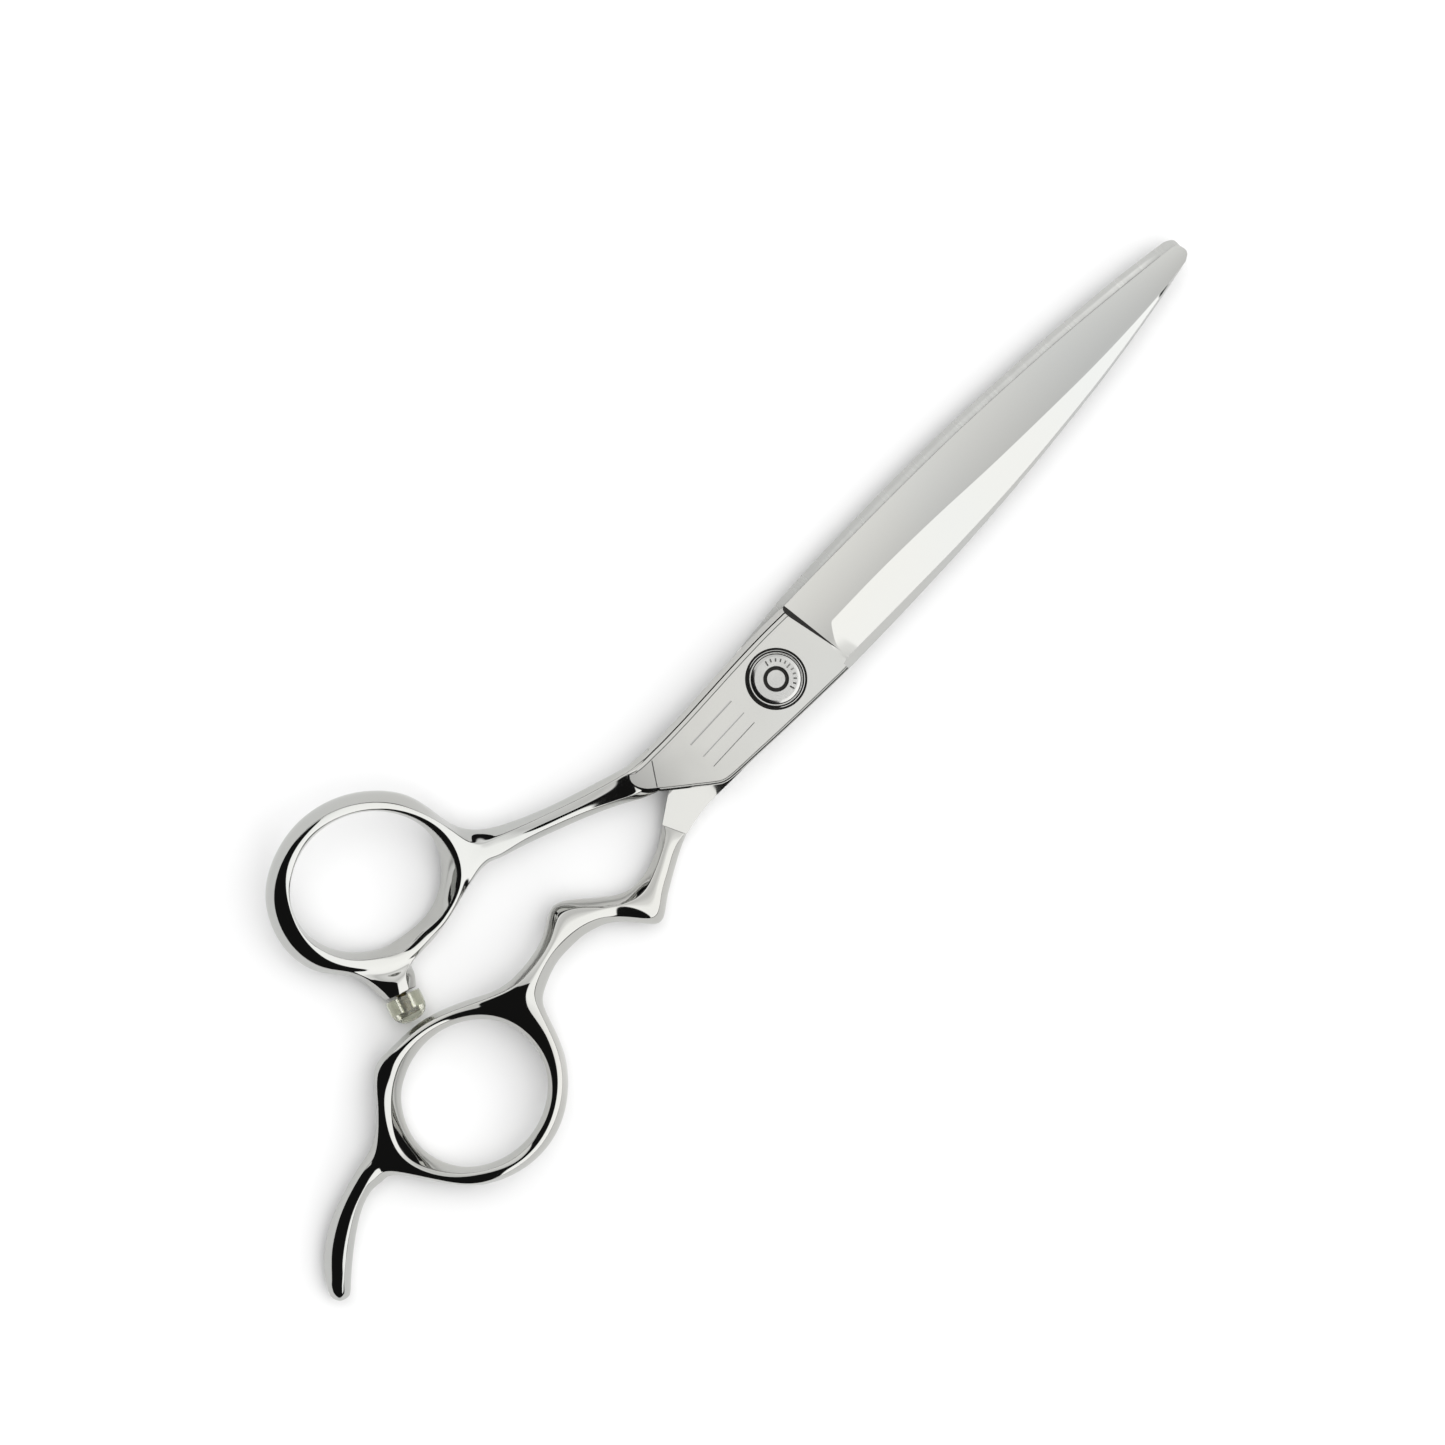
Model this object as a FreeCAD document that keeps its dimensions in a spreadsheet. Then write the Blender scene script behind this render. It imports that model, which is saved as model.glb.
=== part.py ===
"""Left-handed hair cutting shears, nominal size 6.25 inch, closed.

Millimetres. The origin is on the pivot axis, in the back face of the finger half.
+X runs along the blades to the tips, +Y to the thumb ring, and +Z from the finger half,
which is underneath, to the thumb half, which carries the tension nut.
"""
import FreeCAD, Part
import math
import os
import Sketcher

Vector = FreeCAD.Vector
Rotation = FreeCAD.Rotation
Placement = FreeCAD.Placement

# Driving dimensions in millimetres and degrees.
SIZES = {
    # The two plates, one on the other, with a running gap for the washer between them.
    "plate_thick": 3.1,
    "plate_gap": 0.1,
    "plate_bevel": 0.45,
    # Blade profile at the cutting edge, and how far each blade runs back into its plate.
    "edge_thick": 0.3,
    "blade_tip_round": 1.2,
    # Pivot, from the back of the screw's head to the face of the nut.
    "screw_head_rad": 4.0,
    "screw_head_thick": 1.2,
    "screw_flat": 3.3,
    "journal_rad": 2.0,
    "journal_top": 4.78,
    "thread_rad": 1.2,
    "thread_top": 6.15,
    "seat_fit": 0.02,
    "running_fit": 0.05,
    "bush_rad": 2.7,
    "recess_rad": 4.15,
    "recess_floor": 4.5,
    "nut_ring_bore": 3.5,
    "thrust_rad": 3.4,
    "thrust_thick": 0.25,
    "spring_rad": 3.2,
    "spring_thick": 0.2,
    "spring_dish": 0.13,
    "nut_rad": 3.4,
    "nut_face": 6.2,
    "nut_thick": 1.05,
    "nut_groove_rad": 1.69,
    "nut_groove_deep": 0.35,
    "nut_chamfer": 0.12,
    "blade_washer_rad": 5.0,
    "blade_washer_thick": 0.4,
    "blade_washer_proud": 0.08,
    # Thumb ring: an oval band, tilted so that its far side stands up.
    "thumb_ring_x": -57.3,
    "thumb_ring_y": 21.85,
    "thumb_ring_z": 6.05,
    "thumb_ring_long": 11.95,
    "thumb_ring_short": 11.1,
    "thumb_ring_tilt": 20.0,
    # Finger ring: tilted a little the other way.
    "finger_ring_x": -67.85,
    "finger_ring_y": -7.95,
    "finger_ring_z": 3.85,
    "finger_ring_long": 11.6,
    "finger_ring_short": 10.8,
    "finger_ring_tilt": 8.0,
    # Section of both rings.
    "band_wide": 2.7,
    "band_high": 4.5,
    "band_round": 1.2,
    # Bumper on its boss, which points at the finger ring.
    "bumper_x": -65.0,
    "bumper_y": 7.9,
    "bumper_z": 2.7,
    "bumper_heading": 248.5,
    "bumper_rad": 2.5,
    "bumper_long": 3.7,
    "bumper_round": 1.9,
    "stud_rad": 0.8,
    "stud_head_rad": 1.5,
    "stud_head_thick": 0.6,
    "stud_in_boss": 2.5,
    "stud_in_bumper": 2.6,
}

# Blade stations from the plate to the tip: name, distance from the pivot, sideways bow of the
# closed pair, then the cutting edge, the ridge and the spine as distances from the pair's middle,
# and the thickness at the ridge and at the spine.
BLADE_STATIONS = [
    ("root", 4.0, 0.3, 5.5, 0.4, 6.2, 2.45, 1.8),
    ("heel", 12.0, 0.3, 5.5, 0.4, 6.6, 2.4, 1.7),
    ("belly", 26.0, 0.15, 5.25, 0.8, 6.6, 2.2, 1.5),
    ("middle", 42.0, 0.0, 4.6, 1.7, 5.95, 1.9, 1.25),
    ("fore", 60.0, -0.2, 3.15, 2.5, 4.5, 1.5, 1.0),
    ("near_tip", 72.0, -0.25, 1.6, 2.2, 2.95, 1.2, 0.85),
    ("tip", 79.2, -0.3, 0.4, 1.2, 1.65, 0.95, 0.75),
]
BLADE_VALUES = ("x", "bow", "edge", "ridge", "spine", "ridge_thick", "spine_thick")

# Corners of the two pivot plates: name, x, y. The weld is the edge between the last two.
THUMB_PLATE = [
    ("shoulder_edge", 7.1, 5.7),
    ("shoulder_ridge", 8.4, -2.7),
    ("scoop", 9.4, -6.3),
    ("belly", 0.0, -5.8),
    ("neck_low", -12.0, -5.0),
    ("neck_corner", -15.0, -4.4),
    ("weld_low", -21.6, 1.3),
    ("weld_high", -18.4, 5.9),
    ("waist", -10.0, 6.2),
    ("cheek", 0.0, 6.5),
]
FINGER_PLATE = [
    ("shoulder_edge", 7.1, -5.2),
    ("shoulder_ridge", 8.4, 2.7),
    ("scoop", 9.4, 6.8),
    ("belly", 0.0, 6.2),
    ("neck_high", -11.0, 5.6),
    ("neck_corner", -14.0, 4.6),
    ("weld_high", -24.6, -2.1),
    ("weld_low", -23.3, -5.3),
    ("waist", -20.0, -4.7),
    ("cheek", -12.0, -5.0),
]

# Limbs of the handles: name, x, y, z, heading in degrees, width and height of the section there.
LIMB_VALUES = ("x", "y", "z", "heading", "wide", "high")
LIMBS = {
    "thumb_shank": [
        ("weld", -20.0, 3.6, 4.75, 145.2, 5.6, 3.1),
        ("neck", -24.2, 5.0, 4.55, 154.0, 4.3, 3.5),
        ("waist", -31.5, 8.2, 3.9, 156.0, 3.4, 4.2),
        ("flare", -39.8, 11.9, 3.2, 155.0, 3.7, 4.4),
        ("ring", -47.2, 15.6, 2.9, 150.0, 6.4, 4.2),
    ],
    "bumper_boss": [
        ("ring", -62.4, 12.6, 2.75, 240.0, 6.8, 3.9),
        ("waist", -64.1, 10.1, 2.7, 245.0, 5.0, 4.3),
        ("seat", -65.0, 7.9, 2.7, 248.5, 4.2, 4.2),
    ],
    "finger_shank": [
        ("weld", -23.95, -3.7, 1.55, 202.0, 3.5, 3.1),
        ("neck", -29.2, -6.1, 2.4, 204.0, 3.4, 4.0),
        ("heel_groove", -33.7, -7.7, 2.8, 158.0, 5.9, 4.2),
        ("web", -37.8, -4.4, 2.95, 137.0, 3.6, 4.3),
        ("knuckle", -41.8, -1.9, 3.1, 189.0, 5.6, 4.3),
        ("waist", -47.2, -2.4, 3.3, 187.0, 3.6, 4.3),
        ("flare", -52.0, -3.6, 3.6, 195.0, 4.8, 4.4),
        ("ring", -56.4, -5.0, 3.75, 196.0, 9.0, 4.2),
    ],
    "finger_rest": [
        ("ring", -79.2, -5.0, 3.7, 170.0, 8.0, 4.2),
        ("root", -83.8, -5.2, 3.6, 176.0, 4.3, 4.2),
        ("arch", -90.0, -6.05, 3.5, 194.0, 3.2, 4.0),
        ("reach", -96.0, -9.2, 3.3, 214.0, 3.3, 3.8),
        ("end", -100.2, -12.9, 3.2, 224.0, 2.4, 3.0),
    ],
}
LIMB_ROUND = {"thumb_shank": 1.3, "bumper_boss": 1.6, "finger_shank": 1.3, "finger_rest": 1.1}


# ------------------------------------------------------------------ helpers

def make_sheet(doc):
    """The spreadsheet that holds every driving dimension under its own alias."""
    sheet = doc.addObject("Spreadsheet::Sheet", "sizes")
    cells = dict(SIZES)
    for name, *values in BLADE_STATIONS:
        cells.update({f"blade_{name}_{key}": value for key, value in zip(BLADE_VALUES, values)})
    for half, corners in (("thumb", THUMB_PLATE), ("finger", FINGER_PLATE)):
        for name, x, y in corners:
            cells[f"{half}_plate_{name}_x"] = x
            cells[f"{half}_plate_{name}_y"] = y
    for limb, stations in LIMBS.items():
        cells[f"{limb}_round"] = LIMB_ROUND[limb]
        for name, *values in stations:
            cells.update({f"{limb}_{name}_{key}": value for key, value in zip(LIMB_VALUES, values)})
    for row, (alias, value) in enumerate(cells.items(), start=1):
        sheet.set(f"A{row}", alias)
        sheet.set(f"B{row}", str(value))
        sheet.setAlias(f"B{row}", alias)
    doc.recompute()
    return sheet


def make_body(doc, label):
    body = doc.addObject("PartDesign::Body", label)
    body.Label = label
    return body


def make_sketch(body, name, plane, offset=None, turn_axis=Vector(0, 0, 1), turn=None):
    """A sketch on one of the body's origin planes, moved and turned by bound expressions."""
    sketch = body.newObject("Sketcher::SketchObject", f"{body.Label}_{name}")
    support = next(item for item in body.Origin.OriginFeatures if item.Role == plane)
    sketch.AttachmentSupport = [(support, "")]
    sketch.MapMode = "FlatFace"
    sketch.AttachmentOffset = Placement(Vector(), Rotation(turn_axis, 1 if turn else 0))
    for axis, expression in (offset or {}).items():
        sketch.setExpression(f"AttachmentOffset.Base.{axis}", expression)
    if turn:
        sketch.setExpression("AttachmentOffset.Rotation.Angle", turn)
    return sketch


def value(item, expression):
    """What an expression comes to now, as a plain number."""
    return float(item.evalExpression(expression))


def bind(sketch, constraint, expression):
    """Adds a dimension to a sketch and binds it to the spreadsheet."""
    index = sketch.addConstraint(constraint)
    sketch.setExpression(f"Constraints[{index}]", expression)


def draw_polygon(sketch, corners):
    """A closed outline whose corners are bound to pairs of expressions."""
    points = [Vector(value(sketch, along), value(sketch, across), 0) for along, across in corners]
    for start, end in zip(points, points[1:] + points[:1]):
        sketch.addGeometry(Part.LineSegment(start, end), False)
    for index in range(len(points)):
        following = (index + 1) % len(points)
        sketch.addConstraint(Sketcher.Constraint("Coincident", index, 2, following, 1))
    for index, (point, (along, across)) in enumerate(zip(points, corners)):
        bind(sketch, Sketcher.Constraint("DistanceX", -1, 1, index, 1, point.x), along)
        bind(sketch, Sketcher.Constraint("DistanceY", -1, 1, index, 1, point.y), across)


def draw_circle(sketch, radius):
    size = value(sketch, radius)
    sketch.addGeometry(Part.Circle(Vector(), Vector(0, 0, 1), size), False)
    sketch.addConstraint(Sketcher.Constraint("Coincident", 0, 3, -1, 1))
    bind(sketch, Sketcher.Constraint("Radius", 0, size), radius)


def draw_oval(sketch, long_half, short_half):
    """An ellipse about the sketch's origin, with its long axis level."""
    long_size, short_size = value(sketch, long_half), value(sketch, short_half)
    sketch.addGeometry(Part.Ellipse(Vector(), long_size, short_size), False)
    sketch.exposeInternalGeometry(0)
    sketch.addConstraint(Sketcher.Constraint("Coincident", 0, 3, -1, 1))
    sketch.addConstraint(Sketcher.Constraint("Horizontal", 1))
    bind(sketch, Sketcher.Constraint("Distance", 1, 2 * long_size), f"2 * {long_half}")
    bind(sketch, Sketcher.Constraint("Distance", 2, 2 * short_size), f"2 * {short_half}")


def draw_rounded_bar(sketch, wide, high, corner):
    """A rounded rectangle about the sketch's origin: the section of a ring or a limb."""
    radius = value(sketch, corner)
    inner_x = value(sketch, wide) / 2 - radius
    inner_y = value(sketch, high) / 2 - radius
    quarter = math.pi / 2
    quadrants = ((-1, 1), (-1, -1), (1, -1), (1, 1))
    centres = [Vector(side * inner_x, level * inner_y, 0) for side, level in quadrants]
    for index, centre in enumerate(centres):
        angle = quarter * (index + 1)
        arc = Part.ArcOfCircle(Part.Circle(centre, Vector(0, 0, 1), radius), angle, angle + quarter)
        before = centres[index - 1] + arc.StartPoint - centre
        sketch.addGeometry(Part.LineSegment(before, arc.StartPoint), False)
        sketch.addGeometry(arc, False)
    for index in range(8):
        sketch.addConstraint(Sketcher.Constraint("Tangent", index, 2, (index + 1) % 8, 1))
    for line, kind in ((0, "Horizontal"), (2, "Vertical"), (4, "Horizontal"), (6, "Vertical")):
        sketch.addConstraint(Sketcher.Constraint(kind, line))
    for arc in (3, 5, 7):
        sketch.addConstraint(Sketcher.Constraint("Equal", 1, arc))
    sketch.addConstraint(Sketcher.Constraint("Symmetric", 0, 1, 4, 1, -1, 1))
    bind(sketch, Sketcher.Constraint("Radius", 1, radius), corner)
    bind(sketch, Sketcher.Constraint("DistanceX", 2, 1, 6, 1, 2 * (inner_x + radius)), wide)
    bind(sketch, Sketcher.Constraint("DistanceY", 4, 1, 0, 1, 2 * (inner_y + radius)), high)


def draw_flatted_circle(sketch, radius, flat):
    """A circle about the sketch's origin with two upright flats cut from its sides."""
    big, half = value(sketch, radius), value(sketch, flat)
    rise = (big ** 2 - half ** 2) ** 0.5
    corners = [Vector(half, rise, 0), Vector(-half, rise, 0), Vector(-half, -rise, 0), Vector(half, -rise, 0)]
    sketch.addGeometry(Part.Arc(corners[0], Vector(0, big, 0), corners[1]), False)
    sketch.addGeometry(Part.LineSegment(corners[1], corners[2]), False)
    sketch.addGeometry(Part.Arc(corners[2], Vector(0, -big, 0), corners[3]), False)
    sketch.addGeometry(Part.LineSegment(corners[3], corners[0]), False)
    for index in range(4):
        sketch.addConstraint(Sketcher.Constraint("Coincident", index, 2, (index + 1) % 4, 1))
    for arc in (0, 2):
        sketch.addConstraint(Sketcher.Constraint("Coincident", arc, 3, -1, 1))
        bind(sketch, Sketcher.Constraint("Radius", arc, big), radius)
    for line in (1, 3):
        sketch.addConstraint(Sketcher.Constraint("Vertical", line))
        bind(sketch, Sketcher.Constraint("Distance", -1, 1, line, half), flat)


def add_feature(body, kind, name, profile):
    """A feature on a sketch. The handles' faces aren't merged, so that their limbs' seams stay."""
    feature = body.newObject(f"PartDesign::{kind}", name)
    feature.Profile = profile
    feature.Refine = not body.Label.endswith("handle")
    return feature


def pad(body, sketch, length):
    feature = add_feature(body, "Pad", f"{sketch.Name}_pad", sketch)
    feature.setExpression("Length", length)
    return feature


def pocket(body, sketch, depth, reversed_cut=False):
    """A pocket that must take material away."""
    before = body.Shape.Volume
    feature = add_feature(body, "Pocket", f"{sketch.Name}_pocket", sketch)
    feature.Reversed = reversed_cut
    feature.setExpression("Length", depth)
    body.Document.recompute()
    if not body.Shape.Volume < before - 1e-6:
        raise RuntimeError(f"{feature.Name} cuts nothing")
    return feature


def turned_body(doc, label, profile, axis="V_Axis", plane="XZ_Plane"):
    """A body turned from a profile about its sketch's upright or level axis."""
    body = make_body(doc, label)
    sketch = make_sketch(body, "profile", plane)
    draw_polygon(sketch, profile)
    feature = add_feature(body, "Revolution", f"{label}_turned", sketch)
    feature.ReferenceAxis = (sketch, [axis])
    feature.Angle = 360
    return body


def loft(body, name, sections):
    feature = add_feature(body, "AdditiveLoft", f"{body.Label}_{name}", sections[0])
    feature.Sections = sections[1:]
    return feature


def circle_sketch(body, name, level, radius):
    """A circle on the pivot axis at a height given by an expression."""
    sketch = make_sketch(body, name, "XY_Plane", {"z": level})
    draw_circle(sketch, radius)
    return sketch


# ------------------------------------------------------------------ limbs and rings

def limb_section(body, limb, name):
    """A rounded bar square to the limb's path at one station."""
    key = f"sizes.{limb}_{name}_"
    place = {"x": f"{key}x", "y": f"{key}z", "z": f"-{key}y"}
    turn = f"({key}heading - 90) * 1 deg"
    sketch = make_sketch(body, f"{limb}_{name}", "XZ_Plane", place, Vector(0, 1, 0), turn)
    draw_rounded_bar(sketch, f"{key}wide", f"{key}high", f"sizes.{limb}_round")
    return sketch


def add_limb(body, limb, ruled=False):
    """A limb of a handle, lofted through its stations: smooth, or straight between them."""
    sections = [limb_section(body, limb, name) for name, *values in LIMBS[limb]]
    limb_loft = loft(body, limb, sections)
    limb_loft.Ruled = ruled
    return limb_loft


def add_ring(body, ring, tilt_axis):
    """An oval finger ring: a rounded bar swept once round an ellipse, tilted about its long axis."""
    key = f"sizes.{ring}_"
    tilt = f"{key}tilt * 1 deg"
    path_place = {"x": f"{key}x", "y": f"{key}y", "z": f"{key}z"}
    path = make_sketch(body, f"{ring}_path", "XY_Plane", path_place, tilt_axis, tilt)
    draw_oval(path, f"{key}long", f"{key}short")
    band_place = {"x": f"{key}x + {key}long", "y": f"{key}z", "z": f"-{key}y"}
    band = make_sketch(body, f"{ring}_band", "XZ_Plane", band_place, tilt_axis, tilt)
    draw_rounded_bar(band, "sizes.band_wide", "sizes.band_high", "sizes.band_round")
    sweep = add_feature(body, "AdditivePipe", f"{body.Label}_{ring}", band)
    sweep.Spine = (path, ["Edge1"])
    return sweep


# ------------------------------------------------------------------ blades

THUMB_BASE = "(sizes.plate_thick + sizes.plate_gap)"
THUMB_TOP = "(2 * sizes.plate_thick + sizes.plate_gap)"

# A blade's section, from the cutting edge over the ridge to the spine: which side of the middle
# the corner is on (-1 the cutting edge's, 1 the spine's), its distance and its thickness.
BLADE_CORNERS = [
    (-1, "edge", None),
    (-1, "edge", "sizes.edge_thick"),
    (1, "ridge", "sizes.blade_{name}_ridge_thick"),
    (1, "spine", "sizes.blade_{name}_spine_thick"),
    (1, "spine", None),
]


def blade_section(body, name, side, inner_level):
    """One section of a blade on its flat inner face. side is the way its spine points along Y."""
    key = f"sizes.blade_{name}_"
    corners = []
    for sign, distance, thick in BLADE_CORNERS:
        rise = f" - ({side}) * {thick.format(name=name)}" if thick else ""
        corners.append((f"{key}bow + ({sign * side}) * {key}{distance}", f"{inner_level}{rise}"))
    sketch = make_sketch(body, f"blade_{name}", "YZ_Plane", {"z": f"{key}x"})
    draw_polygon(sketch, corners)
    return sketch


def add_plate(body, half, corners, level=None):
    """The pivot plate as a slab."""
    outline = make_sketch(body, "plate", "XY_Plane", {"z": level} if level else None)
    key = f"sizes.{half}_plate_"
    draw_polygon(outline, [(f"{key}{name}_x", f"{key}{name}_y") for name, x, y in corners])
    return pad(body, outline, "sizes.plate_thick")


def bevel_plate(body, plate, outer_level, corners):
    """Chamfers the plate's outer edges, except at the shoulder and at the weld."""
    shoulder = {(x, y) for name, x, y in corners if name.startswith(("shoulder", "scoop"))}
    weld = {(x, y) for name, x, y in corners if name.startswith("weld")}
    chosen = []
    for index, edge in enumerate(plate.Shape.Edges, start=1):
        ends = [vertex.Point for vertex in edge.Vertexes]
        plan = {(round(point.x, 4), round(point.y, 4)) for point in ends}
        on_face = all(abs(point.z - outer_level) < 1e-6 for point in ends)
        if on_face and not plan <= shoulder and not plan <= weld:
            chosen.append(f"Edge{index}")
    bevel = body.newObject("PartDesign::Chamfer", f"{body.Label}_bevel")
    bevel.Base = (plate, chosen)
    bevel.setExpression("Size", "sizes.plate_bevel")
    return bevel


def round_tip(body, blade, side):
    """Rounds the spine's corner at the tip."""
    corner_x = value(body, "sizes.blade_tip_x")
    corner_y = value(body, f"sizes.blade_tip_bow + ({side}) * sizes.blade_tip_spine")
    for index, edge in enumerate(blade.Shape.Edges, start=1):
        ends = [vertex.Point for vertex in edge.Vertexes]
        if all(abs(point.x - corner_x) < 1e-4 and abs(point.y - corner_y) < 1e-4 for point in ends):
            fillet = body.newObject("PartDesign::Fillet", f"{body.Label}_tip")
            fillet.Base = (blade, [f"Edge{index}"])
            fillet.setExpression("Radius", "sizes.blade_tip_round")
            return fillet
    raise RuntimeError(f"{body.Label}: no edge at the tip")


def add_blade(body, side, inner_level):
    """The ground blade, from inside its plate to the rounded tip."""
    sections = [blade_section(body, name, side, inner_level) for name, *values in BLADE_STATIONS]
    blade = loft(body, "blade", sections)
    body.Document.recompute()
    round_tip(body, blade, side)
    body.Document.recompute()


def thumb_blade(doc):
    body = make_body(doc, "thumb_blade")
    plate = add_plate(body, "thumb", THUMB_PLATE, THUMB_BASE)
    doc.recompute()
    bevel_plate(body, plate, value(body, THUMB_TOP), THUMB_PLATE)
    add_blade(body, -1, THUMB_BASE)
    bore = circle_sketch(body, "bore", THUMB_BASE, "sizes.bush_rad")
    pocket(body, bore, "sizes.plate_thick", reversed_cut=True)
    recess = circle_sketch(body, "recess", "sizes.recess_floor", "sizes.recess_rad")
    pocket(body, recess, f"{THUMB_TOP} - sizes.recess_floor", reversed_cut=True)
    return body


def finger_blade(doc):
    body = make_body(doc, "finger_blade")
    plate = add_plate(body, "finger", FINGER_PLATE)
    doc.recompute()
    bevel_plate(body, plate, 0.0, FINGER_PLATE)
    add_blade(body, 1, "sizes.plate_thick")
    bore = circle_sketch(body, "bore", "sizes.plate_thick", "sizes.journal_rad + sizes.seat_fit")
    pocket(body, bore, "sizes.plate_thick")
    seat_radius = "sizes.blade_washer_rad + sizes.seat_fit"
    seat = circle_sketch(body, "seat", "sizes.plate_thick", seat_radius)
    pocket(body, seat, "sizes.blade_washer_thick - sizes.blade_washer_proud")
    head = make_sketch(body, "head_recess", "XY_Plane")
    draw_flatted_circle(head, "sizes.screw_head_rad + sizes.seat_fit", "sizes.screw_flat + sizes.seat_fit")
    pocket(body, head, "sizes.screw_head_thick", reversed_cut=True)
    return body


# ------------------------------------------------------------------ handles

def thumb_handle(doc):
    """Shank, thumb ring and the boss that holds the bumper's stud."""
    body = make_body(doc, "thumb_handle")
    add_ring(body, "thumb_ring", Vector(1, 0, 0))
    add_limb(body, "thumb_shank")
    add_limb(body, "bumper_boss")
    doc.recompute()
    place = {"x": "sizes.bumper_x", "y": "sizes.bumper_z", "z": "-sizes.bumper_y"}
    turn = "(sizes.bumper_heading - 90) * 1 deg"
    hole = make_sketch(body, "stud_hole", "XZ_Plane", place, Vector(0, 1, 0), turn)
    draw_circle(hole, "sizes.stud_rad")
    pocket(body, hole, "sizes.stud_in_boss", reversed_cut=True)
    return body


def finger_handle(doc):
    """Zigzag shank with two finger grooves, finger ring and fixed finger rest."""
    body = make_body(doc, "finger_handle")
    add_ring(body, "finger_ring", Vector(-1, 0, 0))
    add_limb(body, "finger_shank", ruled=True)
    add_limb(body, "finger_rest")
    return body


# ------------------------------------------------------------------ pivot

def pivot_screw(doc):
    """Flat head with two flats, plain journal and threaded end, all on the pivot axis."""
    body = make_body(doc, "pivot_screw")
    head = make_sketch(body, "head", "XY_Plane")
    draw_flatted_circle(head, "sizes.screw_head_rad", "sizes.screw_flat")
    pad(body, head, "sizes.screw_head_thick")
    for name in ("journal", "thread"):
        shaft = circle_sketch(body, name, "0", f"sizes.{name}_rad")
        pad(body, shaft, f"sizes.{name}_top")
    return body


def flat_ring(doc, label, inner, outer, low, high):
    """A turned ring of rectangular section."""
    return turned_body(doc, label, [(inner, low), (outer, low), (outer, high), (inner, high)])


def pivot_bush(doc):
    bore = "sizes.journal_rad + sizes.running_fit"
    return flat_ring(doc, "pivot_bush", bore, "sizes.bush_rad", THUMB_BASE, "sizes.recess_floor")


def nut_ring(doc):
    floor = "sizes.recess_floor"
    return flat_ring(doc, "nut_ring", "sizes.nut_ring_bore", "sizes.recess_rad", floor, THUMB_TOP)


def thrust_washer(doc):
    bore = "sizes.journal_rad + sizes.running_fit"
    top = "sizes.recess_floor + sizes.thrust_thick"
    return flat_ring(doc, "thrust_washer", bore, "sizes.thrust_rad", "sizes.recess_floor", top)


def blade_washer(doc):
    bore = "sizes.journal_rad + sizes.seat_fit"
    top = "sizes.plate_thick + sizes.blade_washer_proud"
    low = f"{top} - sizes.blade_washer_thick"
    return flat_ring(doc, "blade_washer", bore, "sizes.blade_washer_rad", low, top)


def click_spring(doc):
    """Dished washer on the journal's shoulder. Its rim lifts towards the nut."""
    bore = "sizes.thread_rad + sizes.seat_fit"
    level = "sizes.journal_top"
    rim = f"{level} + sizes.spring_dish"
    return turned_body(doc, "click_spring", [
        (bore, level),
        ("sizes.journal_rad", level),
        ("sizes.spring_rad", rim),
        ("sizes.spring_rad", f"{rim} + sizes.spring_thick"),
        ("sizes.journal_rad", f"{level} + sizes.spring_thick"),
        (bore, f"{level} + sizes.spring_thick"),
    ])


def tension_nut(doc):
    """Flush dial nut with a ring groove round the screw's end."""
    bore = "sizes.thread_rad + sizes.running_fit"
    face = "sizes.nut_face"
    groove = f"{face} - sizes.nut_groove_deep"
    return turned_body(doc, "tension_nut", [
        (bore, f"{face} - sizes.nut_thick"),
        ("sizes.nut_rad", f"{face} - sizes.nut_thick"),
        ("sizes.nut_rad", f"{face} - sizes.nut_chamfer"),
        ("sizes.nut_rad - sizes.nut_chamfer", face),
        ("sizes.nut_groove_rad", face),
        ("sizes.nut_groove_rad", groove),
        (bore, groove),
    ])


# ------------------------------------------------------------------ bumper

STUD_NECK = "sizes.stud_in_bumper - sizes.stud_head_thick"


def point_along_boss(body):
    """Stands a piece that was turned about its own X axis on the end of the boss."""
    body.Placement = Placement(Vector(), Rotation(Vector(0, 0, 1), 1))
    for axis in "xyz":
        body.setExpression(f"Placement.Base.{axis}", f"sizes.bumper_{axis}")
    body.setExpression("Placement.Rotation.Angle", "sizes.bumper_heading * 1 deg")


def bumper_stud(doc):
    """Threaded stud in the boss, with a head that the bumper is moulded over."""
    body = turned_body(doc, "bumper_stud", [
        ("-sizes.stud_in_boss", "0"),
        ("-sizes.stud_in_boss", "sizes.stud_rad"),
        (STUD_NECK, "sizes.stud_rad"),
        (STUD_NECK, "sizes.stud_head_rad"),
        ("sizes.stud_in_bumper", "sizes.stud_head_rad"),
        ("sizes.stud_in_bumper", "0"),
    ], "H_Axis", "XY_Plane")
    point_along_boss(body)
    return body


def bumper(doc):
    """Soft clear stop, round at its free end and hollow where the stud goes."""
    body = turned_body(doc, "bumper", [
        ("0", "sizes.stud_rad"),
        ("0", "sizes.bumper_rad"),
        ("sizes.bumper_long", "sizes.bumper_rad"),
        ("sizes.bumper_long", "0"),
        ("sizes.stud_in_bumper", "0"),
        ("sizes.stud_in_bumper", "sizes.stud_head_rad"),
        (STUD_NECK, "sizes.stud_head_rad"),
        (STUD_NECK, "sizes.stud_rad"),
    ], "H_Axis", "XY_Plane")
    doc.recompute()
    turned = body.Tip
    end = value(body, "sizes.bumper_long")
    for index, edge in enumerate(turned.Shape.Edges, start=1):
        if edge.Curve.TypeId == "Part::GeomCircle" and abs(edge.Curve.Center.x - end) < 1e-6:
            rounding = body.newObject("PartDesign::Fillet", "bumper_end")
            rounding.Base = (turned, [f"Edge{index}"])
            rounding.setExpression("Radius", "sizes.bumper_round")
            break
    point_along_boss(body)
    return body


# ------------------------------------------------------------------ build

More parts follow.
